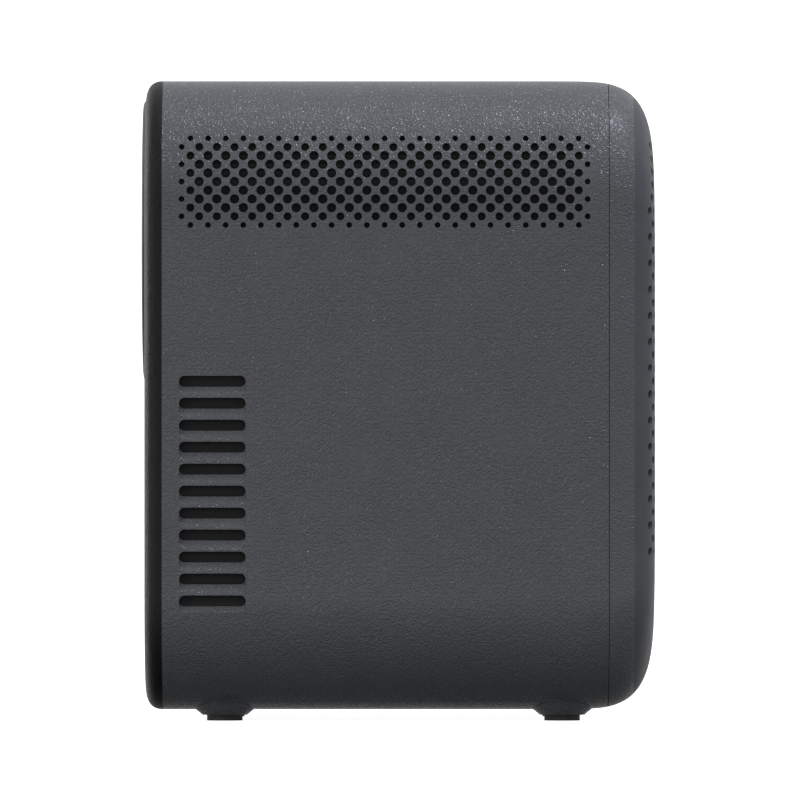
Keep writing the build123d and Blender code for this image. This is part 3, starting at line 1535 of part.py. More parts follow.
with BuildPart() as key_board:
    with BuildSketch(Plane.XY.offset(key_board_z)):
        with Locations((0, front_y + button_from_front)):
            Rectangle(key_board_length, key_board_width)
    extrude(amount=-board_thickness)
    with BuildSketch(Plane.XY.offset(key_board_z)):
        with Locations(*button_places):
            Rectangle(key_side, key_side)
    extrude(amount=key_height - 0.6)
    with BuildSketch(Plane.XY.offset(key_board_z)):
        with Locations(*button_places):
            Circle(1.6)
    extrude(amount=key_height)
key_board.part.label = "key_board"

# ---------------------------------------------------------------- dust screens behind the vents and louvers
vent_low_z = top_z - vent_from_top - (vent_rows - 1) * vent_row_pitch - 5
vent_high_z = top_z - vent_from_top + 4
louver_low_z = louver_places[-1][1] - 8
louver_high_z = louver_places[0][1] + 6
louver_y = front_y + louver_from_front


def screen_zone(side, y_low, y_high, z_low, z_high):
    """Box around one vent field, from the wall inwards."""
    width = 22
    return Pos(side * (body_width / 2 - width / 2), (y_low + y_high) / 2, (z_low + z_high) / 2) * Box(
        width, y_high - y_low, z_high - z_low
    )


vent_zone = (baffle_back_y + 0.3, housing_back_y - 6, vent_low_z, vent_high_z)
louver_reach = louver_length / 2 + 4
louver_zone = (louver_y - louver_reach, louver_y + louver_reach, louver_low_z, louver_high_z)
screen_pieces = [lining & screen_zone(side, *zone) for side in (-1, 1) for zone in (vent_zone, louver_zone)]
with BuildPart() as dust_screens:
    add(screen_pieces)
dust_screens.part.label = "dust_screens"

# ---------------------------------------------------------------- feet, camera thread and screws
with BuildPart() as rubber_feet:
    with BuildSketch(Plane.XY):
        with Locations(*foot_places):
            Circle(foot_radius)
    extrude(amount=foot_thickness)
    with BuildSketch(Plane.XY.offset(foot_thickness)):
        with Locations(*foot_places):
            Circle(foot_stem_radius)
    extrude(amount=foot_stem_length)
rubber_feet.part.label = "rubber_feet"

with BuildPart() as camera_thread:
    with BuildSketch(Plane.XY.offset(bottom_z)):
        Circle(insert_radius)
        Circle(insert_bore, mode=Mode.SUBTRACT)
    extrude(amount=insert_length)
camera_thread.part.label = "camera_thread"


def screws(places, seat, direction, length):
    """Round-headed screws: heads stand off the seat plane, shanks run the other way."""
    with BuildPart() as group:
        with BuildSketch(seat):
            with Locations(*places):
                Circle(screw_head_radius)
        extrude(amount=-direction * screw_head)
        with BuildSketch(seat):
            with Locations(*places):
                Circle(screw_radius)
        extrude(amount=direction * length)
    return group.part


fan_screw_places = [
    (x + dx * fan_hole_spacing / 2, z + dz * fan_hole_spacing / 2)
    for x, z in fan_places
    for dx in (-1, 1)
    for dz in (-1, 1)
]
with BuildPart() as case_screws:
    add(screws(post_places, facing_front(back_y - 2 * wall), 1, screw_length))
    add(screws(post_places, facing_front(baffle_front_y), -1, screw_length))
    add(screws(ear_places, facing_front(well_floor_y + 2), -1, 5))
    add(screws(board_posts, facing_front(socket_back_y - board_thickness), -1, 8))
    add(screws(chassis_posts, Plane.XY.offset(chassis_top_z), -1, chassis_rise - 1))
    add(screws(fan_screw_places, facing_front(bulkhead_back_y - bulkhead_thickness), -1, fan_depth))
case_screws.part.label = "case_screws"

with BuildPart() as damper_screws:
    with BuildSketch(facing_front(damper_low_y)):
        with Locations(*damper_places):
            Circle(damper_head)
    extrude(amount=1.2)
    with BuildSketch(facing_front(damper_low_y)):
        with Locations(*damper_places):
            Circle(damper_screw)
    extrude(amount=-6.5)
damper_screws.part.label = "damper_screws"

# ---------------------------------------------------------------- write the pieces
pieces = [
    main_housing, front_cover, front_grille, grille_mesh, remote_window, front_baffle,
    speaker_frames, speaker_cones, speaker_magnets,
    back_cover, disc_lid, hinge_pin, lid_magnet, catch_plate,
    disc_deck, deck_chassis, deck_dampers, spindle_motor, turntable,
    pickup_sled, pickup_lens, guide_rods, lead_screw, sled_motor,
    lens_bezel, lens_mount, lens_barrel, lens_elements, focus_ring, focus_pinion, focus_motor,
    engine_case, fold_mirror, lcd_panel, field_lens, condenser_lens, light_funnel, led_board, heat_sink,
    chassis_plate, fan_bulkhead, fan_frames, main_board, power_board,
    socket_board, signal_sockets, power_inlet, inlet_pins, key_board, dust_screens,
    rubber_feet, camera_thread, case_screws, damper_screws,
]
os.makedirs("parts", exist_ok=True)
for piece in pieces:
    export_step(piece.part, f"parts/{piece.part.label}.step")
for rotor in (left_fan_rotor, right_fan_rotor):
    export_step(rotor, f"parts/{rotor.label}.step")
for name, button in zip(button_names, push_buttons):
    button.label = name
    export_step(button, f"parts/{name}.step")
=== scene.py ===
import json
from math import asin, cos, hypot, pi, radians, sin, sqrt

import bmesh
import bpy
from mathutils import Matrix, Vector


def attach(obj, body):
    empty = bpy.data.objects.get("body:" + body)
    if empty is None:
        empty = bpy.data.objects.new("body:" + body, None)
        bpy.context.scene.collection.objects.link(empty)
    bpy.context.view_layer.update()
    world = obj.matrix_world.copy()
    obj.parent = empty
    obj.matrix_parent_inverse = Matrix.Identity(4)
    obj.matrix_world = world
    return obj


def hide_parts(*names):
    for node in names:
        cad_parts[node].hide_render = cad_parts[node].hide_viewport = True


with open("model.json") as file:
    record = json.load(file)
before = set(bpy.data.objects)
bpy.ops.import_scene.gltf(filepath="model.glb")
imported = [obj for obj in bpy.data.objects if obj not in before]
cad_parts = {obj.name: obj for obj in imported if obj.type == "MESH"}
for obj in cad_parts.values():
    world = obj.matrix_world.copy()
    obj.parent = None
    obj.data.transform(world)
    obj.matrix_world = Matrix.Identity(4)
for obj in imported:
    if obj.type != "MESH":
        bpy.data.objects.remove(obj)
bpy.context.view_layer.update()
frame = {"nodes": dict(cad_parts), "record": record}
MM = 0.001

# ------------------------------------------------------------------ sizes shared with the solids (mm)
body_width, body_height, body_depth = 200.0, 300.0, 242.8
side_corner = 54.0
wall = 2.5
foot_lift = 5.2
lid_proud = 1.76
front_y = -(body_depth + lid_proud) / 2
bottom_z, top_z = foot_lift, foot_lift + body_height
middle_z = (bottom_z + top_z) / 2
grille_back_y = front_y + 10.0
lens_z = bottom_z + 194.8
window_z = bottom_z + 69.5
lens_opening = 37.0               # radius of the hole in the grille
window_opening = 3.05             # radius of the hole for the remote-control window


# ------------------------------------------------------------------ materials
class Finish:
    """A node material with its shader, its object coordinates and helpers for patterns."""

    def __init__(self, name, colour, roughness, **sockets):
        self.material = bpy.data.materials.new(name)
        self.material.use_nodes = True
        self.nodes = self.material.node_tree.nodes
        self.links = self.material.node_tree.links
        self.shader = self.nodes["Principled BSDF"]
        self.shader.inputs["Base Color"].default_value = (*colour, 1.0)
        self.shader.inputs["Roughness"].default_value = roughness
        for socket, value in sockets.items():
            self.shader.inputs[socket.replace("_", " ")].default_value = value
        self.where = self.nodes.new("ShaderNodeTexCoord").outputs["Object"]
        self.colour = colour
        self.bump = None

    def stretched(self, scale):
        """Object coordinates scaled along each axis, so that a pattern on them is drawn out."""
        mapping = self.nodes.new("ShaderNodeMapping")
        mapping.inputs["Scale"].default_value = scale
        self.links.new(self.where, mapping.inputs["Vector"])
        return mapping.outputs["Vector"]

    def noise(self, size, detail=4.0, rough=0.6, where=None):
        """Noise whose blotches are about size millimetres wide."""
        node = self.nodes.new("ShaderNodeTexNoise")
        node.inputs["Scale"].default_value = 1000.0 / size
        node.inputs["Detail"].default_value = detail
        node.inputs["Roughness"].default_value = rough
        self.links.new(where or self.where, node.inputs["Vector"])
        return node.outputs["Fac"]

    def cell_edges(self, size, randomness):
        """Distance from the edges of cells that are about size millimetres wide."""
        node = self.nodes.new("ShaderNodeTexVoronoi")
        node.feature = "DISTANCE_TO_EDGE"
        node.inputs["Scale"].default_value = 1000.0 / size
        node.inputs["Randomness"].default_value = randomness
        self.links.new(self.where, node.inputs["Vector"])
        return node.outputs["Distance"]

    def lines(self, pitch, direction):
        """Fine parallel lines, pitch millimetres apart."""
        node = self.nodes.new("ShaderNodeTexWave")
        node.bands_direction = direction
        node.inputs["Scale"].default_value = 1000.0 * pi / (10.0 * pitch)
        node.inputs["Distortion"].default_value = 0.0
        self.links.new(self.where, node.inputs["Vector"])
        return node.outputs["Fac"]

    def ranged(self, value, low, high, start=0.0, end=1.0):
        """The pattern value carried from start..end to low..high."""
        node = self.nodes.new("ShaderNodeMapRange")
        node.inputs["From Min"].default_value = start
        node.inputs["From Max"].default_value = end
        node.inputs["To Min"].default_value = low
        node.inputs["To Max"].default_value = high
        self.links.new(value, node.inputs["Value"])
        return node.outputs["Result"]

    def reckoned(self, operation, first, second=None):
        """One sum of a pattern with another pattern or with a number."""
        node = self.nodes.new("ShaderNodeMath")
        node.operation = operation
        self.links.new(first, node.inputs[0])
        if isinstance(second, float):
            node.inputs[1].default_value = second
        elif second:
            self.links.new(second, node.inputs[1])
        return node.outputs["Value"]

    def tint(self, value, light, dark, start=0.3, end=0.7):
        """The surface colour goes from dark to light times its own colour with the pattern."""
        ramp = self.nodes.new("ShaderNodeValToRGB")
        ramp.color_ramp.elements[0].position = start
        ramp.color_ramp.elements[1].position = end
        ramp.color_ramp.elements[0].color = (*[c * dark for c in self.colour], 1.0)
        ramp.color_ramp.elements[1].color = (*[min(1.0, c * light) for c in self.colour], 1.0)
        self.links.new(value, ramp.inputs["Fac"])
        self.links.new(ramp.outputs["Color"], self.shader.inputs["Base Color"])

    def sheen_range(self, value, low, high, start=0.3, end=0.7):
        """Roughness follows the pattern."""
        self.links.new(self.ranged(value, low, high, start, end), self.shader.inputs["Roughness"])

    def relief(self, height, depth, strength=1.0):
        """Raised pattern, depth millimetres high; further calls stack."""
        node = self.nodes.new("ShaderNodeBump")
        node.inputs["Strength"].default_value = strength
        node.inputs["Distance"].default_value = depth * MM
        self.links.new(height, node.inputs["Height"])
        if self.bump:
            self.links.new(self.bump.outputs["Normal"], node.inputs["Normal"])
        self.links.new(node.outputs["Normal"], self.shader.inputs["Normal"])
        self.bump = node


def moulded(name, colour, roughness, grain=0.6, depth=0.02, **sockets):
    """Moulded plastic with a fine spark-eroded grain."""
    finish = Finish(name, colour, roughness, **sockets)
    finish.tint(finish.noise(18.0), 1.08, 0.92)
    finish.sheen_range(finish.noise(7.0), roughness - 0.06, roughness + 0.06)
    finish.relief(finish.noise(grain, 3.0), depth)
    return finish.material


def leathered(name, colour, roughness, depth, size=1.5, specular=0.5):
    """Coarse moulded grain: short worm-like ridges over shallow hollows, size millimetres apart."""
    ridge_width = 0.11                # share of the noise's range on each side of its middle
    finish = Finish(name, colour, roughness, Specular_IOR_Level=specular)
    swirl = finish.noise(size, 1.5, 0.5)
    off_line = finish.reckoned("ABSOLUTE", finish.reckoned("SUBTRACT", swirl, 0.5))
    patches = finish.ranged(finish.noise(9 * size, 2.0), 0.8, 1.0, 0.4, 0.6)
    ridges = finish.reckoned("MULTIPLY", finish.ranged(off_line, 1.0, 0.0, 0.0, ridge_width), patches)
    hollows = finish.noise(2 * size, 2.0)
    finish.tint(finish.noise(26.0), 1.04, 0.96)
    finish.sheen_range(ridges, roughness + 0.05, roughness - 0.05, 0.0, 0.8)
    finish.relief(hollows, 0.4 * depth)
    finish.relief(ridges, 1.5 * depth)
    return finish.material


def drawn_metal(name, colour, roughness, stretch=(1.0, 1.0, 0.02)):
    """Rolled or drawn metal with fine lines along one axis."""
    finish = Finish(name, colour, roughness, Metallic=1.0)
    lines = finish.noise(0.5, 3.0, 0.6, finish.stretched(stretch))
    finish.tint(lines, 1.08, 0.88)
    finish.sheen_range(lines, roughness - 0.08, roughness + 0.12)
    finish.relief(lines, 0.006)
    return finish.material


def cast_metal(name, colour, roughness):
    """Die-cast metal with a matt skin."""
    finish = Finish(name, colour, roughness, Metallic=1.0)
    skin = finish.noise(0.8, 5.0)
    finish.tint(finish.noise(6.0), 1.1, 0.85)
    finish.sheen_range(skin, roughness - 0.08, roughness + 0.12)
    finish.relief(skin, 0.02)
    return finish.material


def painted(name, colour, roughness):
    """Painted or blackened metal."""
    finish = Finish(name, colour, roughness)
    skin = finish.noise(0.5, 3.0)
    finish.tint(finish.noise(9.0), 1.12, 0.88)
    finish.sheen_range(skin, roughness - 0.06, roughness + 0.08)
    finish.relief(skin, 0.01)
    return finish.material


def woven(name, colour, pitch):
    """Thin black cloth: over-and-under threads."""
    finish = Finish(name, colour, 0.9, Specular_IOR_Level=0.1)
    across = finish.lines(pitch, "X")
    up = finish.lines(pitch, "Z")
    threads = finish.reckoned("MULTIPLY", across, up)
    finish.tint(threads, 1.3, 0.6, 0.1, 0.8)
    finish.relief(threads, 0.08)
    return finish.material


def clear_glass(name, colour, roughness=0.02, ior=1.5, coat=0.0):
    """Clear glass or clear plastic, with a faint cloud in its polish."""
    finish = Finish(name, colour, roughness, Transmission_Weight=1.0, IOR=ior, Coat_Weight=coat)
    finish.sheen_range(finish.noise(12.0), roughness, roughness + 0.02)
    return finish.material


def circuit(name, colour):
    """Lacquered circuit board: faint copper runs under the lacquer."""
    finish = Finish(name, colour, 0.35)
    runs = finish.cell_edges(5.0, 0.4)
    finish.tint(runs, 1.0, 1.9, 0.02, 0.08)
    finish.sheen_range(finish.noise(8.0), 0.28, 0.42)
    finish.relief(runs, 0.03, 0.4)
    return finish.material


def pressed_paper(name, colour):
    """Pulp paper of a loudspeaker cone."""
    finish = Finish(name, colour, 0.85)
    pulp = finish.noise(1.2, 6.0, 0.7)
    finish.tint(pulp, 1.3, 0.8)
    finish.sheen_range(pulp, 0.75, 0.95)
    finish.relief(pulp, 0.05)
    return finish.material


SIDE_GREY = (0.079, 0.084, 0.0945)
finishes = {
    "housing_plastic": leathered("housing_plastic", SIDE_GREY, 0.29, 0.14, 2.0, 0.45),
    "front_plastic": leathered("front_plastic", (0.084, 0.090, 0.101), 0.35, 0.13, 1.9, 0.4),
    "grille_plastic": moulded(
        "grille_plastic", (0.073, 0.078, 0.088), 0.5, 0.5, 0.012, Specular_IOR_Level=0.2),
    "cover_plastic": leathered("cover_plastic", (0.0085, 0.0085, 0.0088), 0.42, 0.07, 1.4, 0.18),
    "lid_plastic": moulded(
        "lid_plastic", (0.013, 0.013, 0.0135), 0.4, 0.7, 0.015, Specular_IOR_Level=0.3),
    "mesh_black": woven("mesh_black", (0.010, 0.010, 0.011), 0.5),
    "window_dark": moulded("window_dark", (0.02, 0.005, 0.008), 0.12, 2.0, 0.002),
    "inner_plastic": moulded("inner_plastic", (0.02, 0.02, 0.021), 0.6),
    "speaker_steel": painted("speaker_steel", (0.03, 0.03, 0.032), 0.45),
    "cone_paper": pressed_paper("cone_paper", (0.025, 0.025, 0.026)),
    "magnet_black": cast_metal("magnet_black", (0.10, 0.10, 0.105), 0.6),
    "pin_steel": drawn_metal("pin_steel", (0.60, 0.60, 0.61), 0.25),
    "magnet_nickel": drawn_metal("magnet_nickel", (0.66, 0.64, 0.60), 0.18, (1.0, 0.05, 1.0)),
    "deck_plastic": moulded("deck_plastic", (0.026, 0.026, 0.028), 0.5, 0.5, 0.02),
    "plate_steel": drawn_metal("plate_steel", (0.50, 0.51, 0.52), 0.38),
    "damper_rubber": moulded("damper_rubber", (0.03, 0.03, 0.035), 0.8),
    "motor_steel": drawn_metal("motor_steel", (0.52, 0.52, 0.53), 0.32, (1.0, 0.02, 1.0)),
    "platter_plastic": moulded("platter_plastic", (0.04, 0.04, 0.045), 0.35, 0.35, 0.02),
    "sled_metal": cast_metal("sled_metal", (0.34, 0.34, 0.35), 0.45),
    "objective_glass": clear_glass("objective_glass", (0.55, 0.7, 1.0), 0.01, 1.6, 0.6),
    "bezel_gloss": moulded("bezel_gloss", (0.010, 0.010, 0.011), 0.16, 3.0, 0.004),
    "barrel_black": moulded("barrel_black", (0.012, 0.012, 0.013), 0.5, 0.4, 0.015),
    "lens_glass": clear_glass("lens_glass", (0.50, 0.56, 0.70), 0.005, 1.52, 0.3),
    "gear_plastic": moulded("gear_plastic", (0.60, 0.60, 0.56), 0.42, 2.0, 0.006),
    "pinion_plastic": moulded("pinion_plastic", (0.55, 0.55, 0.52), 0.42, 2.0, 0.006),
    "engine_plastic": moulded("engine_plastic", (0.028, 0.028, 0.029), 0.62, 0.9, 0.03),
    "mirror_glass": drawn_metal("mirror_glass", (0.88, 0.89, 0.90), 0.03, (1.0, 1.0, 1.0)),
    "lcd_glass": moulded("lcd_glass", (0.02, 0.02, 0.035), 0.15, 4.0, 0.002),
    "field_plastic": clear_glass("field_plastic", (0.92, 0.94, 0.96), 0.12, 1.49),
    "condenser_glass": clear_glass("condenser_glass", (0.93, 0.95, 0.97), 0.02, 1.52),
    "reflector_metal": drawn_metal("reflector_metal", (0.82, 0.82, 0.82), 0.1),
    "led_core": cast_metal("led_core", (0.66, 0.65, 0.6), 0.4),
    "sink_aluminium": drawn_metal("sink_aluminium", (0.62, 0.63, 0.64), 0.34, (1.0, 0.02, 1.0)),
    "fan_black": moulded("fan_black", (0.022, 0.022, 0.023), 0.5),
    "rotor_black": moulded("rotor_black", (0.03, 0.03, 0.031), 0.42),
    "board_green": circuit("board_green", (0.015, 0.10, 0.04)),
    "board_brown": circuit("board_brown", (0.24, 0.14, 0.05)),
    "socket_nickel": drawn_metal("socket_nickel", (0.58, 0.56, 0.53), 0.3, (1.0, 0.05, 1.0)),
    "inlet_black": moulded("inlet_black", (0.014, 0.014, 0.014), 0.45),
    "pin_brass": drawn_metal("pin_brass", (0.72, 0.66, 0.5), 0.25, (1.0, 0.05, 1.0)),
    "screen_black": woven("screen_black", (0.031, 0.032, 0.033), 0.7),
    "foot_rubber": moulded("foot_rubber", (0.013, 0.013, 0.014), 0.72, 0.7, 0.03),
    "insert_brass": drawn_metal("insert_brass", (0.74, 0.56, 0.26), 0.3),
    "screw_black": painted("screw_black", (0.02, 0.02, 0.021), 0.35),
    "button_plastic": moulded("button_plastic", SIDE_GREY, 0.45, 0.6, 0.02),
}
node_slot = {entry["node"]: entry["material_slot"] for entry in frame["record"]["subparts"]}
node_body = {
    name: body for body, names in frame["record"]["behaviour"]["bodies"].items() for name in names
}
for name, node in frame["nodes"].items():
    for holder in node.material_slots:
        holder.material = finishes[node_slot[name]]


# ------------------------------------------------------------------ making pieces
same_point = 0.002                # corners of a solid's triangles nearer than this are one (mm)


def piece_from(bm, name, slot, body, *replaced):
    """Turns a finished bmesh into a piece that rides a body and stands for solids."""
    mesh = bpy.data.meshes.new(name)
    bm.to_mesh(mesh)
    bm.free()
    piece = bpy.data.objects.new(name, mesh)
    bpy.context.scene.collection.objects.link(piece)
    mesh.materials.append(finishes[slot])
    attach(piece, body)
    if replaced:
        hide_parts(*replaced)
    return piece


def mark_corners(bm, angle=30.0):
    """Round faces shade smoothly; edges sharper than the angle stay crisp."""
    bm.normal_update()
    for face in bm.faces:
        face.smooth = True
    for edge in bm.edges:
        edge.smooth = len(edge.link_faces) == 2 and edge.calc_face_angle(0.0) < radians(angle)


def settled(piece):
    """Applies the piece's modifiers to its mesh."""
    bpy.context.view_layer.update()
    graph = bpy.context.evaluated_depsgraph_get()
    mesh = bpy.data.meshes.new_from_object(piece.evaluated_get(graph), depsgraph=graph)
    piece.modifiers.clear()
    piece.data = mesh
    return piece


def smooth_copy(node, name, angle=30.0):
    """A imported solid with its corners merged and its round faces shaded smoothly."""
    bm = bmesh.new()
    bm.from_mesh(frame["nodes"][node].data)
    bmesh.ops.remove_doubles(bm, verts=bm.verts, dist=same_point * MM)
    mark_corners(bm, angle)
    return piece_from(bm, name, node_slot[node], node_body[node], node)


# ------------------------------------------------------------------ camera
def aim(thing, place, target):
    thing.location = place
    thing.rotation_euler = (Vector(target) - Vector(place)).to_track_quat("-Z", "Y").to_euler()


frame_pixels = 800                # width and height of the photograph's frame
photo_scale = 0.4758 * MM         # metres to a pixel, on the plane aimed at
aimed_plane = 75.0 * MM           # that plane lies this far to the near side of the middle
camera_data = bpy.data.cameras.new("camera")
camera_data.lens = 720.0
camera_data.sensor_width = 36.0
camera_data.clip_end = 100.0
camera = bpy.data.objects.new("camera", camera_data)
bpy.context.scene.collection.objects.link(camera)
bpy.context.scene.camera = camera
frame_width = frame_pixels * photo_scale
camera_distance = frame_width * camera_data.lens / camera_data.sensor_width + aimed_plane
view_centre = (0.0, -0.9 * MM, 152.9 * MM)
aim(camera, (-camera_distance, view_centre[1], view_centre[2]), view_centre)

# ------------------------------------------------------------------ floor, surroundings and light
def stage_piece(bm, name, material):
    mesh = bpy.data.meshes.new(name)
    bm.to_mesh(mesh)
    bm.free()
    piece = bpy.data.objects.new(name, mesh)
    mesh.materials.append(material)
    bpy.context.scene.collection.objects.link(piece)
    piece.visible_diffuse = False
    piece.visible_glossy = False
    return piece


floor_radius = 1.0
floor_finish = Finish("floor_white", (0.5, 0.5, 0.5), 0.9)
floor_finish.tint(floor_finish.noise(400.0), 1.02, 0.98)
floor_finish.shader.inputs["Emission Color"].default_value = (1.0, 1.0, 1.0, 1.0)
floor_finish.shader.inputs["Emission Strength"].default_value = 0.95
bm = bmesh.new()
bmesh.ops.create_circle(bm, cap_ends=True, segments=96, radius=floor_radius)
stage_piece(bm, "floor", floor_finish.material)

backdrop_radius = 11.8
backdrop_finish = Finish("backdrop_white", (0.9, 0.9, 0.9), 0.9)
backdrop_finish.shader.inputs["Emission Color"].default_value = (1.0, 1.0, 1.0, 1.0)
backdrop_finish.shader.inputs["Emission Strength"].default_value = 1.0
bm = bmesh.new()
bmesh.ops.create_uvsphere(bm, u_segments=64, v_segments=32, radius=backdrop_radius)
bmesh.ops.reverse_faces(bm, faces=bm.faces)
backdrop = stage_piece(bm, "backdrop", backdrop_finish.material)
backdrop.visible_transmission = False
backdrop.visible_shadow = False


def studio_room(below, level, above, front, back):
    """Soft light from all round, from below to above, and from front to back."""
    world = bpy.data.worlds.new("room")
    world.use_nodes = True
    nodes, links = world.node_tree.nodes, world.node_tree.links
    direction = nodes.new("ShaderNodeTexCoord").outputs["Generated"]
    parts = nodes.new("ShaderNodeSeparateXYZ")
    links.new(direction, parts.inputs["Vector"])
    ramp = nodes.new("ShaderNodeMapRange")
    ramp.inputs["From Min"].default_value = -1.0
    ramp.inputs["From Max"].default_value = 1.0
    links.new(parts.outputs["Z"], ramp.inputs["Value"])
    shade = nodes.new("ShaderNodeValToRGB")
    shade.color_ramp.elements[0].color = (below, below, below, 1.0)
    shade.color_ramp.elements[1].color = (above, above, above, 1.0)
    dusk_to_horizon = ((0.25, 0.2), (0.4, 0.73), (0.5, 1.0))   # place on the ramp, share of the level
    for place, share in dusk_to_horizon:
        shade.color_ramp.elements.new(place).color = (level * share, level * share, level * share, 1.0)
    links.new(ramp.outputs["Result"], shade.inputs["Fac"])
    links.new(shade.outputs["Color"], nodes["Background"].inputs["Color"])
    along = nodes.new("ShaderNodeMapRange")
    along.inputs["From Min"].default_value = -1.0
    along.inputs["From Max"].default_value = 1.0
    along.inputs["To Min"].default_value = front
    along.inputs["To Max"].default_value = back
    links.new(parts.outputs["Y"], along.inputs["Value"])
    links.new(along.outputs["Result"], nodes["Background"].inputs["Strength"])
    bpy.context.scene.world = world


def softbox(name, place, target, width, height, watts, tint=(1.0, 1.0, 1.0)):
    """A lamp with a flat rectangular face, sizes and places in metres."""
    lamp_data = bpy.data.lights.new(name, "AREA")
    lamp_data.shape = "RECTANGLE"
    lamp_data.size, lamp_data.size_y = width, height
    lamp_data.energy = watts
    lamp_data.color = tint
    lamp = bpy.data.objects.new(name, lamp_data)
    bpy.context.scene.collection.objects.link(lamp)
    aim(lamp, place, target)


studio_room(0.0, 0.88, 0.52, 0.92, 1.08)
softbox("overhead", (-0.2, 0.05, 2.0), (0.0, 0.0, 0.25), 0.2, 0.8, 1.9)
softbox("overhead_front", (-0.2, -0.85, 1.93), (0.0, -0.1, 0.25), 0.3, 0.3, 19.0, (0.86, 0.91, 1.0))
softbox("from_behind", (-0.9, 1.7, 0.5), (-0.1, 0.0, 0.15), 0.35, 0.35, 4.5)
softbox("back_rim", (1.2, 1.5, 0.4), (0.0, 0.1, 0.15), 0.7, 0.7, 5.0)
bpy.context.scene.view_settings.view_transform = "Standard"

# ------------------------------------------------------------------ outer shells
front_round = {"depth": 45.1, "drop": 64.5, "side": 30.0, "corner": 28.0, "power": 3.92}


def front_section(y):
    """Width, height and corner radius of the body at depth y within the rounding of its front."""
    reach = min(1.0, (front_y + front_round["depth"] - y) / front_round["depth"])
    share = 1 - (1 - reach ** front_round["power"]) ** (1 / front_round["power"])
    return (
        body_width - 2 * share * front_round["side"],
        body_height - 2 * share * front_round["drop"],
        side_corner * (1 - share) + front_round["corner"] * share,
    )


def front_ring(bm, y, capped, corner_steps=20):
    """Outline of the front rounding at depth y as a ring of vertices. Returns its edges."""
    width, height, corner = front_section(y)
    ring = bmesh.ops.create_circle(
        bm, segments=4 * (corner_steps + 1), radius=MM, cap_ends=capped)["verts"]
    for i, vertex in enumerate(ring):
        quarter, step = divmod(i, corner_steps + 1)
        angle = pi / 2 * (quarter + step / corner_steps)
        side_x = 1 if quarter in (0, 3) else -1
        side_z = 1 if quarter in (0, 1) else -1
        vertex.co = Vector((
            side_x * (width / 2 - corner) + corner * cos(angle),
            y,
            middle_z + side_z * (height / 2 - corner) + corner * sin(angle),
        )) * MM
    return list({edge for vertex in ring for edge in vertex.link_edges})


def front_skin(stations):
    """Skin through the outlines at the given depths, from back to front, closed by the front face."""
    bm = bmesh.new()
    rings = [front_ring(bm, y, i == len(stations) - 1) for i, y in enumerate(stations)]
    for near, far in zip(rings, rings[1:]):
        bmesh.ops.bridge_loops(bm, edges=near + far)
    bmesh.ops.recalc_face_normals(bm, faces=bm.faces)
    return bm


def front_stations(start_y, count):
    """Depths from start_y to the front face, closer together where the rounding turns quickly."""
    depth, power = front_round["depth"], front_round["power"]
    start = asin(min(1.0, (front_y + depth - start_y) / depth) ** (power / 2))
    angles = [start + (pi / 2 - start) * i / count for i in range(count + 1)]
    return [front_y + depth - depth * sin(a) ** (2 / power) for a in angles]


def cut_by(piece, cutter_bm):
    """Cuts the shapes of another bmesh out of the piece."""
    mesh = bpy.data.meshes.new("cutter")
    cutter_bm.to_mesh(mesh)
    cutter_bm.free()
    cutter = bpy.data.objects.new("cutter", mesh)
    bpy.context.scene.collection.objects.link(cutter)
    modifier = piece.modifiers.new("cut", "BOOLEAN")
    modifier.object = cutter
    modifier.operation = "DIFFERENCE"
    modifier.solver = "MANIFOLD"
    settled(piece)
    bpy.data.objects.remove(cutter)
    return piece


def along_y(x, z, y):
    """Place of a round shape whose axis runs from front to back."""
    return Matrix.Translation(Vector((x, y, z)) * MM) @ Matrix.Rotation(radians(90), 4, "X")


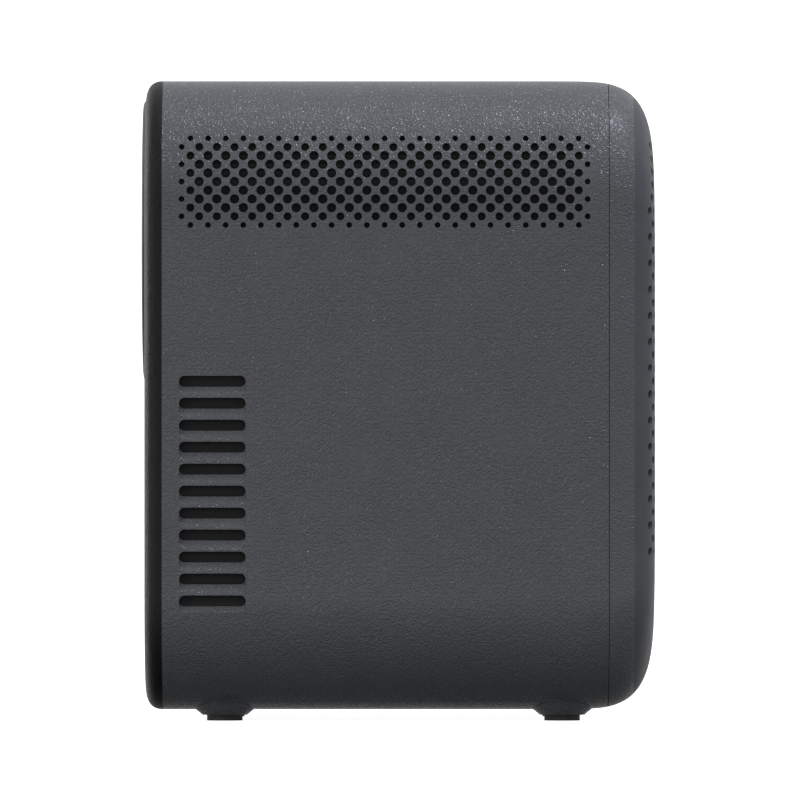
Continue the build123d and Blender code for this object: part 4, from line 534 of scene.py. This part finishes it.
grille_pitch, grille_hole = 6.22, 4.0
grille_column_pitch = 2 * grille_pitch / sqrt(3)
side_columns = 14                 # columns of holes on each side of the middle
grille_stations = 26              # outlines from the back of the grille to its face
cutter_length, cutter_middle = 16.0, 5.0   # length of the hole cutters, front face to their middle
perforation_top = top_z - 29.5
perforation_bottom = bottom_z + 72.5
perforation_depth = 4.0           # how far behind the front face the outermost holes lie


def perforation_places():
    """Staggered holes over the front, clear of the lens and inside the outline of the rounding."""
    width, height, corner = front_section(front_y + perforation_depth)
    rows = int((perforation_top - perforation_bottom - grille_hole) / grille_pitch)
    for row in range(rows + 1):
        z = perforation_top - grille_hole / 2 - row * grille_pitch
        for column in range(-side_columns, side_columns + 1):
            x = (column + 0.5 * (row % 2)) * grille_column_pitch
            over_x = max(0.0, abs(x) - (width / 2 - corner))
            over_z = max(0.0, z - (middle_z + height / 2 - corner))
            inside = hypot(over_x, over_z) < corner - grille_hole / 2
            if inside and hypot(x, z - lens_z) > lens_opening + grille_hole:
                yield x, z


def add_cutter(bm, x, z, radius, segments):
    """Adds a round cutter through the front at x, z."""
    bmesh.ops.create_cone(
        bm, cap_ends=True, segments=segments, radius1=radius * MM, radius2=radius * MM,
        depth=cutter_length * MM, matrix=along_y(x, z, front_y + cutter_middle),
    )


def front_grille():
    """The curved front with its wall, its field of holes and the openings for lens and window."""
    bm = front_skin(front_stations(grille_back_y, grille_stations))
    grille = piece_from(bm, "grille_skin", "grille_plastic", "case", "front_grille")
    shell = grille.modifiers.new("wall", "SOLIDIFY")
    shell.thickness = wall * MM
    shell.offset = -1.0
    shell.use_even_offset = True
    settled(grille)
    cutters = bmesh.new()
    for x, z in perforation_places():
        add_cutter(cutters, x, z, grille_hole / 2, 16)
    for z, radius in ((lens_z, lens_opening), (window_z, window_opening)):
        add_cutter(cutters, 0, z, radius, 96)
    cut_by(grille, cutters)
    bm = bmesh.new()
    bm.from_mesh(grille.data)
    mark_corners(bm, 35.0)
    bm.to_mesh(grille.data)
    bm.free()


front_grille()
for node in (
    "main_housing", "front_cover", "back_cover", "disc_lid", "lens_bezel", "lens_barrel",
    "lens_elements", "rubber_feet", "power_button", "source_button", "volume_down_button", "volume_up_button",
):
    smooth_copy(node, node + "_skin")
